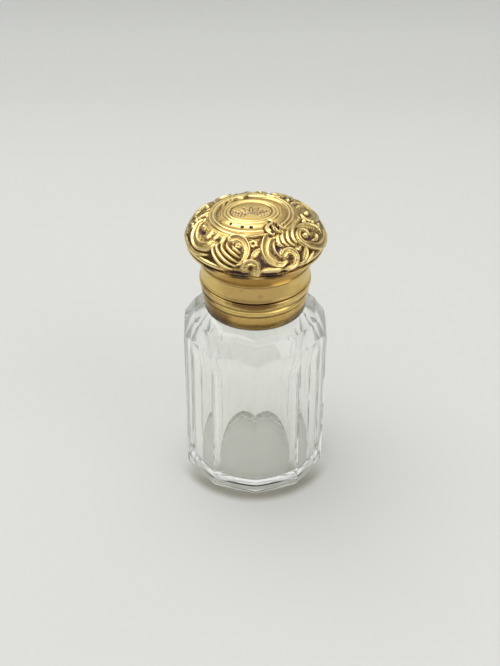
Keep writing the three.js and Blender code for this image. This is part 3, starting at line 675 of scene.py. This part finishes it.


# Height of the chasing over the ground at points with the given bearings and lengths up: the crown's rings
# inside, the corded rim, the strands and flowers, and what is sunk, punched or engraved. Also where its colour is
# made dark: painted shade together with tarnish in what is sunk, punched or engraved.
def chasedHeight(bearing, up):
    d = lidDome
    points, normals, radius = groundAt(bearing, up)
    shape = radius.shape
    points, normals = points.reshape(-1, 3), normals.reshape(-1, 3)
    bearing, radius, up = bearing.ravel(), radius.ravel(), up.ravel()
    planRadius = d.placesRadius * np.cos(np.interp(up, meridian[0], meridian[5])) ** (2 / d.squareness)
    crownX, crownY = crownPlace(bearing, planRadius)
    crownRadius = np.hypot(crownX, crownY)
    fine = np.arange(0, 14, 0.02)
    sunk = np.pad(np.interp(fine, *np.array(crownSunk).T), 4, mode="edge")
    rings = d.relief - np.interp(crownRadius, fine, np.convolve(sunk, np.ones(9) / 9, "valid"))
    field = d.groundNear * (1 - easeRise((crownRadius - d.groundFrom) / (d.groundTo - d.groundFrom)))
    height = np.where(crownRadius < d.groundFrom, rings, field)
    ground = height.copy()
    cord = np.clip(1 - ((up - d.cordUp) / d.cordHalf) ** 2, 0, 1)
    share = np.interp(np.degrees(bearing) % 180, *np.array(d.cordShare).T)
    twist = 1 + 0.07 * np.cos(d.cordTwists * bearing + 5 * up)
    height = np.maximum(height, share * d.cordHeight * np.sqrt(cord) * twist)
    dark = np.zeros_like(height)

    def offsets(b, r):
        across = (bearing - math.radians(b) + np.pi) % (2 * np.pi) - np.pi
        return across * radius, up - float(upAtRadius(r))

    for b, r, halfAcross, halfUp, depth in recesses:
        for turn in (0, 180) if r > d.crownReach else (0,):
            across, rise = offsets(b + turn, r)
            patch = easeRise(1.25 - np.hypot(across / halfAcross, rise / halfUp))
            height = height - depth * patch
            dark = np.maximum(dark, patch)
    for turn in (0, 180):
        for b, r, *form in flowers:
            addFlower(height, points, normals, math.radians(b + turn), r, *form)
    for turn, (*form, places) in [(t, s) for t in (0, 180) for s in ornament] + [(0, s) for s in crownStrands]:
        addStrand(height, points, normals, *smoothRun([(b + turn, r) for b, r in places]), *form)
    dark = np.where(height > ground + 0.12, 0, dark)
    for b, r, half in punches:
        across, rise = offsets(b, r)
        inside = np.clip((half - np.maximum(abs(across), abs(rise))) / 0.08 + 0.5, 0, 1)
        height = height - d.punchDepth * inside
        dark = np.maximum(dark, inside)
    spray = engravedSpray(crownX, crownY)
    height = height - d.engravedDepth * spray
    dark = np.maximum(dark, 0.9 * spray)
    return height.reshape(shape), dark.reshape(shape)


# A plain palmette between two leafy stems, cut in the crown's field. A leaf is a pair of arcs: a straight run
# with half a sine wave to each side. A stem is a parabola that rises to the side.
leafSpray = Settings(
    line=0.13, foot=-1.6, petals=7, petalSpread=74, petalLength=4.1, petalWidth=0.42,
    stemReach=3.8, stemRise=2.0, stemLeaves=4, stemLeafLength=1.6, stemLeafWidth=0.3, border=4.75,
)


def engravedSpray(x, y):
    s = leafSpray
    near = np.hypot(x, y) < s.border + 0.5
    u = np.linspace(0, 1, 30)
    cuts = []

    def groove(px, py, wide=1.0):
        gap = np.full(x.shape, 9.0)
        gap[near] = np.min(np.hypot(x[near, None] - px, y[near, None] - py), 1)
        cuts.append(np.clip(1.3 - gap / (s.line * wide), 0, 1))

    def leaf(rootX, rootY, angle, length, width):
        ax, ay = math.sin(math.radians(angle)), math.cos(math.radians(angle))
        for bow in (-width * np.sin(np.pi * u), width * np.sin(np.pi * u)):
            groove(rootX + ax * length * u - ay * bow, rootY + ay * length * u + ax * bow)

    for share in np.linspace(-1, 1, s.petals):
        length = s.petalLength * (1 - 0.35 * share * share)
        leaf(0.35 * share, s.foot, s.petalSpread * share, length, s.petalWidth)
    for side in (-1, 1):
        def stem(along):
            return side * s.stemReach * along, s.foot - 0.5 + s.stemRise * along ** 2
        groove(*stem(np.linspace(0.12, 1, 60)), 1.2)
        for k in range(s.stemLeaves):
            for angle in (30, 132):
                leaf(*stem(0.35 + 0.2 * k), side * angle, s.stemLeafLength * (1 - 0.13 * k), s.stemLeafWidth)
    groove(*ellipse((0, 0), s.border, np.linspace(0, 2 * np.pi, 240)).T, 0.8)
    return np.max(cuts, 0)


# Mean of a height grid over a window, in two box passes; columns wrap and rows repeat at their ends.
def blurGrid(grid, rowSpan, columnSpan):
    def boxMean(grid, span, mode):
        sums = np.cumsum(np.pad(np.pad(grid, ((span, span), (0, 0)), mode=mode), ((1, 0), (0, 0))), 0)
        return (sums[2 * span + 1:] - sums[:-2 * span - 1]) / (2 * span + 1)

    for _ in range(2):
        grid = boxMean(boxMean(grid, rowSpan, "edge").T, columnSpan, "wrap").T
    return grid


# The chasing over a grid of bearings and lengths up: height, darkness, and the ground under it with its normals.
def chasedGrid(columns, up):
    bearings, ups = np.broadcast_arrays(fullTurn(columns), up[:, None])
    return *chasedHeight(bearings, ups), *groundAt(bearings, ups)[:2]


# What the gilding's wear and painted shading read: how far a place lies under the mean height about it (grime
# and painted shade) or over it (polish and painted highlight), its stain with painted shade, and how far it is open
# ground for the punch.
def paintChasing(piece, height, mean, dark, innerRows, struck):
    inner = np.zeros((innerRows, height.shape[1]))
    for name, values, inside in (
            ("recess", np.clip((mean - height) / 0.18, 0, 1), inner + 0.3),
            ("crest", np.clip((height - mean) / 0.25, 0, 1), inner), ("stainAndShade", dark, inner),
            ("matting", struck * np.clip(1 - height / 0.5, 0, 1), inner)):
        attribute = piece.data.attributes.new(name, "FLOAT", "POINT")
        attribute.data.foreach_set("value", np.concatenate([values, inside]).astype(np.float32).ravel())


# The chased zone from the rim to the seam, and back inside as the sheet's own back, which echoes the relief.
def makeDome(material):
    d = lidDome
    up = np.linspace(meridian[0, 0], float(upAtRadius(d.seam)), d.rows)
    height, dark, ground, normal = chasedGrid(d.columns, up)
    height = blurGrid(height, 1, 1) * 0.35 + height * 0.65
    height[-1] -= d.seamDip
    points = ground + normal * height[..., None]
    mean = blurGrid(height, int(d.blur / (up[1] - up[0])), int(d.blur / d.columnStep))
    back = np.linspace(d.rows - 1, 0, d.innerRows).astype(int)
    echo = 0.8 * blurGrid(height, 3, 2)[back] - d.wall - 0.25
    inside = ground[back] + normal[back] * echo[..., None]
    inside[-1, :, 2] = points[0, :, 2]
    points = np.concatenate([points, inside])
    piece = makeMesh("chasedDome", points, material, "lid", ["lid_dome"], poles=False)
    paintChasing(piece, height, mean, dark, len(back), 1)


# The crown: the same height from the axis out to just past the seam, closed below as a disc.
def makeCrown(material):
    d = lidDome
    plan = np.concatenate([[0], np.linspace(0.06, d.seam + 0.1, d.crownRows)])
    height, dark, ground, normal = chasedGrid(d.crownColumns, upAtRadius(plan))
    height[0] = height[1].mean()
    height[-2:] -= d.seamDip
    points = ground + normal * height[..., None]
    points[..., 2] = np.minimum(points[..., 2], d.topLimit)
    back = np.array([d.crownRows, d.crownRows // 2, 0])
    points = np.concatenate([points, ground[back] - normal[back] * d.crownThickness])
    piece = makeMesh("crownRoundel", points, material, "lid", ["lid_dome"])
    paintChasing(piece, height, blurGrid(height, 9, 6), dark, len(back), 0)
    faceOutwards(piece)


# Shader nodes

# Short calls on one node tree. Each adds a node, sets its values or links its inputs, and gives an output.
class NodeNet:
    def __init__(self, tree):
        self.tree = tree

    def feed(self, node, inputs):
        for socket, value in inputs.items():
            if isinstance(value, (int, float, tuple)):
                node.inputs[socket].default_value = value
            else:
                self.tree.links.new(value, node.inputs[socket])
        return node

    def add(self, kind, inputs=None, **settings):
        node = self.tree.nodes.new("ShaderNode" + kind)
        for key, value in settings.items():
            setattr(node, key, value)
        return self.feed(node, inputs or {}).outputs

    def math(self, operation, a, b, clamp=False):
        return self.add("Math", {0: a, 1: b}, operation=operation, use_clamp=clamp)[0]

    def times(self, a, b, clamp=False):
        return self.math("MULTIPLY", a, b, clamp)

    def plus(self, a, b, clamp=False):
        return self.math("ADD", a, b, clamp)

    def mix(self, factor, a, b):
        return self.add("Mix", {0: factor, 6: a, 7: b}, data_type="RGBA")[2]

    def noise(self, vector, scale, detail=3.0, roughness=0.5):
        settings = {"Vector": vector, "Scale": scale, "Detail": detail, "Roughness": roughness}
        return self.add("TexNoise", settings)["Fac"]

    def ramp(self, value, low, high):
        limits = {"Value": value, "From Min": low, "From Max": high}
        return self.add("MapRange", limits, interpolation_type="SMOOTHSTEP")["Result"]

    def bump(self, height, distance, **normal):
        return self.add("Bump", {"Height": height, "Distance": distance, **normal})["Normal"]

    def group(self, tree, **inputs):
        return self.add("Group", inputs, node_tree=tree)


# A shared group. An input's kind follows from its value: a number, a place or a colour.
def newGroup(name, inputs, outputs):
    group = bpy.data.node_groups.new(name, "ShaderNodeTree")
    for socketName, value in inputs.items():
        kind = {3: "Vector", 4: "Color"}[len(value)] if isinstance(value, tuple) else "Float"
        socket = group.interface.new_socket(socketName, in_out="INPUT", socket_type="NodeSocket" + kind)
        socket.default_value = value
    for socketName, kind in outputs.items():
        group.interface.new_socket(socketName, in_out="OUTPUT", socket_type="NodeSocket" + kind)
    return group, NodeNet(group), group.nodes.new("NodeGroupInput").outputs, group.nodes.new("NodeGroupOutput")


# Gilding that has worn, with painted shading: broad copper clouds; darker colour in what is sunk, which is grime
# and painted shade; a paler colour on crests, which is polish and a painted highlight; and stained places, which
# are tarnish and painted shade.
def makeGildingWearAndShading():
    group, net, given, result = newGroup("gildingWearAndShading", {
        "Position": (0, 0, 0), "Recess": 0.0, "Crest": 0.0, "StainAndShade": 0.0, "Dullness": 0.2,
        "Gold": (0.74, 0.54, 0.19, 1), "Polished": (0.9, 0.72, 0.34, 1), "Copper": (0.5, 0.24, 0.07, 1),
        "GrimeAndShade": (0.1, 0.05, 0.022, 1), "TarnishAndShade": (0.12, 0.07, 0.08, 1),
    }, {"Colour": "Color", "Roughness": "Float"})
    cloud = net.ramp(net.noise(given["Position"], 160), 0.5, 0.75)
    speck = net.ramp(net.noise(given["Position"], 1400, 4), 0.56, 0.72)
    colour = net.mix(net.times(cloud, 0.4), given["Gold"], given["Copper"])
    # Paler colour on crests: polish and a painted highlight.
    colour = net.mix(net.times(given["Crest"], 0.8, True), colour, given["Polished"])
    # Darker colour in what is sunk and in punched pits: grime and painted shade.
    dirtAndShade = net.plus(net.times(given["Recess"], 0.95, True), net.times(speck, 0.12), True)
    colour = net.mix(dirtAndShade, colour, given["GrimeAndShade"])
    rough = net.plus(given["Dullness"], net.times(dirtAndShade, 0.3))
    rough = net.plus(rough, net.times(given["StainAndShade"], 0.25), True)
    # Stained places take the tarnish colour: tarnish and painted shade.
    net.feed(result, {"Colour": net.mix(given["StainAndShade"], colour, given["TarnishAndShade"]), "Roughness": rough})
    return group


# A patch of darkening about a place, used for stains and for painted shade and dark reflections: one minus the
# scaled distance from it, ragged by noise.
def makeStainAndShadePatch():
    group, net, given, result = newGroup("stainAndShadePatch", {
        "Position": (0, 0, 0), "Place": (0, 0, 0), "Reach": (1, 1, 1), "Raggedness": 0.8}, {"Mask": "Float"})
    offset = net.add("VectorMath", {0: given["Position"], 1: given["Place"]}, operation="SUBTRACT")[0]
    scaled = net.add("VectorMath", {0: offset, 1: given["Reach"]}, operation="DIVIDE")[0]
    distance = net.add("VectorMath", {0: scaled}, operation="LENGTH")["Value"]
    ragged = net.math("SUBTRACT", net.noise(given["Position"], 600, 4, 0.6), 0.5)
    ragged = net.times(ragged, given["Raggedness"])
    net.feed(result, {"Mask": net.ramp(net.plus(distance, ragged), 1.15, 0.45)})
    return group


# Matting: a ground struck with a small round punch. The height is the distance to the nearest of many random
# points, cut off at the punch's own size.
def makePunchedGround():
    group, net, given, result = newGroup("punchedGround", {
        "Position": (0, 0, 0), "Matting": 0.0, "Scale": 1900.0}, {"Height": "Float", "Pits": "Float"})
    cells = net.add("TexVoronoi", {"Vector": given["Position"], "Scale": given["Scale"]})
    dot = net.ramp(cells["Distance"], 0.1, 0.55)
    pit = net.math("SUBTRACT", 1.0, dot)
    net.feed(result, {"Height": net.times(dot, given["Matting"]), "Pits": net.times(pit, given["Matting"])})
    return group


# Marks of handling: fine noise drawn out along the horizontal, with a few broader ripples in the sheet.
def makeHandlingMarks():
    group, net, given, result = newGroup("handlingMarks", {
        "Position": (0, 0, 0), "Stretch": 10.0}, {"Height": "Float"})
    place = net.add("SeparateXYZ", {0: given["Position"]})
    steep = net.times(place["Z"], given["Stretch"])
    drawn = net.add("CombineXYZ", {"X": place["X"], "Y": place["Y"], "Z": steep})[0]
    fine, broad = net.noise(drawn, 420, 4, 0.6), net.noise(given["Position"], 230, 2)
    net.feed(result, {"Height": net.plus(net.times(fine, 0.35), broad)})
    return group


gildingWearAndShading = makeGildingWearAndShading()
punchedGround = makePunchedGround()
handlingMarks = makeHandlingMarks()
stainAndShadePatch = makeStainAndShadePatch()


def startMaterial(name):
    material = bpy.data.materials.new(name)
    material.use_nodes = True
    net = NodeNet(material.node_tree)
    return material, net, net.tree.nodes["Principled BSDF"], net.add("TexCoord")["Object"]


# Gilt metal: handling marks as bump, worn colour with painted shade and highlight, roughness, and patches of
# tarnish, painted shade and painted dark reflections. Chased pieces also read what paintChasing wrote, and have a
# punched ground whose pits are darkened as grime and painted shade.
def giltMaterial(name, dullness, marks, chased=False, patches=(), **colours):
    material, net, shader, position = startMaterial(name)
    settings = {"Position": position, "Dullness": dullness, **colours}
    normal = net.bump(net.group(handlingMarks, Position=position)["Height"], marks)
    if chased:
        recess, settings["Crest"], settings["StainAndShade"], matting = (
            net.add("Attribute", attribute_name=key)["Fac"] for key in ("recess", "crest", "stainAndShade", "matting"))
        struck = net.group(punchedGround, Position=position, Matting=matting)
        normal = net.bump(struck["Height"], 0.18 * mm, Normal=normal)
        # The punch's pits add to the darkening: grime and painted shade.
        settings["Recess"] = net.plus(recess, net.times(struck["Pits"], 0.6), True)
    wearAndShading = net.group(gildingWearAndShading, **settings)
    colour = wearAndShading["Colour"]
    # Darkening patches: real stains, painted shade and painted dark reflections, as the patch tables note.
    for place, reach, strength, tint in patches:
        place, reach = (tuple(value * mm for value in values) for values in (place, reach))
        patch = net.group(stainAndShadePatch, Position=position, Place=place, Reach=reach)
        colour = net.mix(net.times(patch["Mask"], strength), colour, tint)
    net.feed(shader, {"Base Color": colour, "Roughness": wearAndShading["Roughness"], "Normal": normal, "Metallic": 1.0})
    return material


# Lamp light passes through the glass to the floor: for shadow rays alone the surface is a faintly tinted pane,
# darker where the light meets it at a glancing angle and would be turned aside.
def passLight(net, shader, tint, glancingTint):
    glancing = net.ramp(net.add("LayerWeight")["Facing"], 0.66, 1.0)
    pane = net.add("BsdfTransparent", {"Color": net.mix(glancing, tint, glancingTint)})[0]
    shadowRay = net.add("LightPath")["Is Shadow Ray"]
    surface = net.add("MixShader", {0: shadowRay, 1: shader.outputs[0], 2: pane})[0]
    net.feed(net.tree.nodes["Material Output"], {"Surface": surface})


glassIndex = 1.52
clearTints = Settings(
    plain=(0.99, 0.995, 0.98, 1), cloud=(0.975, 0.985, 0.965, 1), edge=(0.33, 0.38, 0.26, 1),
    edgeFrom=0.009, edgeTo=0.026,
)


# Clear glass. Its trace of iron greens it very slightly, in broad faint clouds, and more where light leaves the
# wall after a long way in it: the tint grows with the ray's length from 9 to 26 millimetres.
def glassMaterial():
    material, net, shader, position = startMaterial("clearGlass")
    cloud = net.mix(net.noise(position, 60, 2), clearTints.plain, clearTints.cloud)
    far = net.ramp(net.add("LightPath")["Ray Length"], clearTints.edgeFrom, clearTints.edgeTo)
    farInside = net.times(far, net.add("NewGeometry")["Backfacing"])
    net.feed(shader, {"Base Color": net.mix(farInside, cloud, clearTints.edge),
                      "Transmission Weight": 1.0, "IOR": glassIndex, "Roughness": 0.0})
    passLight(net, shader, (0.87, 0.87, 0.85, 1), (0.22, 0.22, 0.19, 1))
    return material


# The stopper's glass: polished above the neck and ground below it, with a soft change over 0.6 millimetres.
def stopperMaterial():
    material, net, shader, position = startMaterial("stopperGlass")
    neckTop = stopper.plugTop * mm
    ground = net.ramp(net.add("SeparateXYZ", {0: position})["Z"], neckTop, neckTop - 0.6 * mm)
    grain = net.times(ground, net.noise(position, 3000, 2))
    net.feed(shader, {"Base Color": (0.97, 0.985, 0.975, 1), "Transmission Weight": 1.0, "IOR": glassIndex,
                      "Roughness": net.times(ground, 0.38), "Normal": net.bump(grain, 0.00004)})
    passLight(net, shader, (0.85, 0.86, 0.84, 1), (0.5, 0.5, 0.48, 1))
    return material


# Plaster, mottled and slightly rough.
def plasterMaterial():
    material, net, shader, position = startMaterial("plaster")
    colour = net.mix(net.noise(position, 500, 4), (0.62, 0.56, 0.45, 1), (0.82, 0.79, 0.72, 1))
    net.feed(shader, {"Base Color": colour, "Roughness": 0.9,
                      "Normal": net.bump(net.noise(position, 1500, 4), 0.0001)})
    return material


# The stage: a pale sheet swept up behind, with a narrow shadow of the glass foot painted into its colour to the
# front, a soft key and fill, and a world that is pale at the horizon, dim above it and bright overhead
stage = Settings(
    floorColour=(0.61, 0.61, 0.59, 1), wallColour=(0.63, 0.64, 0.625, 1),
    paperReach=3.0, paperDrop=0.00006, sweepFrom=0.235, sweepRadius=0.05, wallTop=0.2,
    lowColour=(0.55, 0.55, 0.54, 1), dimColour=(0.17, 0.17, 0.165, 1), highColour=(1.16, 1.16, 1.14, 1),
    backColour=(0.95, 0.95, 0.93, 1), glassHighColour=(0.8, 0.8, 0.78, 1),
    keySize=0.6, keyPlace=(-0.2, 0.16, 0.72), keyPower=2.3,
    fillSize=0.4, fillPlace=(0.5, -0.35, 0.5), fillPower=0.9,
    footShade=(0.3, 0.29, 0.245, 1), footInner=(0.0178, 0.0192), footOuter=(0.0235, 0.0202),
    footFront=(-0.005, -0.016), dimRise=(0.12, 0.32), backRise=(0.45, 0.75), highRise=(0.45, 0.8),
)


# A square lamp that faces the origin and isn't seen through the glass.
def makeAreaLight(name, place, size, power):
    data = bpy.data.lights.new(name, "AREA")
    data.size, data.energy = size, power
    lamp = addObject(name, data)
    lamp.location = place
    lamp.visible_transmission = False
    lamp.rotation_euler = (-Vector(place)).to_track_quat("-Z", "Y").to_euler()


# The world's colour by the direction looked in: its rise and how far it points to the back.
def makeWorld():
    s = stage
    world = bpy.data.worlds.new("studio")
    bpy.context.scene.world = world
    world.use_nodes = True
    net = NodeNet(world.node_tree)
    way = net.add("SeparateXYZ", {0: net.add("TexCoord")["Generated"]})
    high = net.ramp(way["Z"], *s.highRise)
    colour = net.mix(net.ramp(way["Z"], *s.dimRise), s.lowColour, s.dimColour)
    colour = net.mix(net.ramp(way["Y"], *s.backRise), colour, s.backColour)
    colour = net.mix(high, colour, s.highColour)
    overhead = net.times(high, net.add("LightPath")["Is Transmission Ray"])
    net.feed(net.tree.nodes["Background"], {"Color": net.mix(overhead, colour, s.glassHighColour)})


# The paper is a profile along y, flat and then swept up in a quarter round, drawn out across x. The foot's shadow
# is painted into the paper's colour: a darker ring between two radii, held to the front.
def makeStage():
    s = stage
    makeWorld()
    for lamp in ("key", "fill"):
        makeAreaLight(lamp + "Light", s[lamp + "Place"], s[lamp + "Size"], s[lamp + "Power"])
    flat = pointsFrom(np.linspace(-s.paperReach, s.sweepFrom, 10)[:-1], 0)
    sweep = ellipse((s.sweepFrom, s.sweepRadius), (s.sweepRadius, -s.sweepRadius), quarterTurn(30)[::-1])
    profile = np.concatenate([flat, sweep, [(s.sweepFrom + s.sweepRadius, s.wallTop)]]) - (0, s.paperDrop)
    points = pointsFrom((-s.paperReach, s.paperReach), profile[:, :1], profile[:, 1:]) / mm
    faces = [(2 * i, 2 * i + 1, 2 * i + 3, 2 * i + 2) for i in range(len(profile) - 1)]
    paper, net, shader, position = startMaterial("backdropPaper")
    place = net.add("SeparateXYZ", {0: position})
    tint = net.mix(net.ramp(place["Z"], 0.0, 0.012), s.floorColour, s.wallColour)
    cloud = net.ramp(net.noise(position, 6, 2), 0.3, 0.7)
    tint = net.mix(net.times(cloud, 0.06), tint, s.wallColour)
    # Painted shadow of the glass foot: the paper's colour darkens in a ring round the foot, towards the front.
    radius = net.math("POWER", net.plus(*(net.math("POWER", place[axis], 2.0) for axis in "XY")), 0.5)
    ring = net.times(net.ramp(radius, *s.footInner), net.ramp(radius, *s.footOuter))
    shade = net.times(ring, net.ramp(place["Y"], *s.footFront))
    net.feed(shader, {"Base Color": net.mix(shade, tint, s.footShade), "Roughness": 0.9})
    makeMesh("backdrop", points, paper, faces=faces)


makeCamera()
makeStage()
print("camera and stage ready")

# Darkening patches on the band and the collar: place and reach in millimetres, strength, colour
brown, umber = (0.16, 0.075, 0.025, 1), (0.05, 0.026, 0.02, 1)
bandPatches = [
    # Stains at the front, near the seam.
    ((-1, -14.3, 61.7), (8.5, 4, 1.1), 0.85, brown),
    ((1, -14.3, 63.6), (0.9, 4, 0.9), 0.7, brown),
    ((-4, -14.3, 65.2), (0.6, 4, 0.5), 0.6, brown),
    # Painted dark reflection across the front of the band.
    ((0, -14.3, 64), (13, 6, 5.5), 0.75, (0.52, 0.35, 0.13, 1)),
    # A darker ring at the step above the plain wall.
    ((0, 0, 66.2), (100, 100, 0.22), 0.75, brown),
    # Painted shadow in the gap under the dome's rim, on top of the flare.
    ((-4.3, -17.5, 71.6), (4.2, 3, 0.8), 0.9, umber),
    ((4.2, -17.5, 71.6), (4, 3, 0.8), 0.9, umber),
    ((-11.8, -13.3, 71.6), (2.8, 3, 0.5), 0.9, umber),
]
collarPatches = [
    # Browner towards the bottom of the collar.
    ((0, 0, 51.2), (100, 100, 6.8), 0.75, (0.46, 0.27, 0.08, 1)),
    # A stain on the bead at the front seam.
    ((-1, -14, 60.7), (8.5, 4, 1.3), 0.9, brown),
    # Painted dark reflections on the collar's sides, where they face dark surroundings.
    ((-9.5, -9.5, 54), (4.2, 5, 4), 0.85, brown),
    ((-12.8, -6, 58), (3.5, 6, 4.5), 0.65, brown),
    ((10.5, -9, 53.5), (3, 4, 2.5), 0.25, brown),
    # Darker rings in the grooves and at the collar's foot.
    ((0, 0, 56.7), (100, 100, 0.2), 0.5, brown),
    ((0, 0, 58.5), (100, 100, 0.2), 0.5, brown),
    ((0, 0, 52.4), (100, 100, 0.4), 0.8, umber),
]
giltBand = giltMaterial("giltBand", 0.22, 0.00002, patches=bandPatches)
giltCollar = giltMaterial("giltCollar", 0.22, 0.00002, patches=collarPatches)
giltChased = giltMaterial("giltChased", 0.19, 0.00002, chased=True, Polished=(0.92, 0.75, 0.38, 1))
giltInside = giltMaterial("giltInside", 0.34, 0.00003, Gold=(0.6, 0.41, 0.12, 1))
pinBrass = giltMaterial("pinBrass", 0.38, 0.00004, Gold=(0.5, 0.36, 0.14, 1))
makeGlassBody(glassMaterial())
print("glass body made")
makeCollar(giltCollar)
makeBezel(giltInside)
makeBand(giltBand)
makeCement(plasterMaterial())
makeStopper(stopperMaterial())
print("mounts and stopper turned")
for name, start, end, side, wall, body, node in (
        ("leftKnuckle", -hinge.fixedTo, -hinge.fixedFrom, -1, hinge.collarWall, "bottle", "collar_knuckle_left"),
        ("rightKnuckle", hinge.fixedFrom, hinge.fixedTo, -1, hinge.collarWall, "bottle", "collar_knuckle_right"),
        ("lidKnuckle", hinge.lidFrom, hinge.lidTo, 1, hinge.lidWall, "lid", "lid_knuckle")):
    makeKnuckle(name, start, end, side, wall, giltInside, body, node)
makePin(pinBrass)
print("hinge made")
makeDome(giltChased)
makeCrown(giltChased)
print("dome chased")

cycles = bpy.context.scene.cycles
cycles.max_bounces = 40
cycles.transmission_bounces = 40
cycles.glossy_bounces = 16
cycles.diffuse_bounces = 5
bpy.context.scene.view_settings.view_transform = "Standard"
bpy.context.view_layer.update()
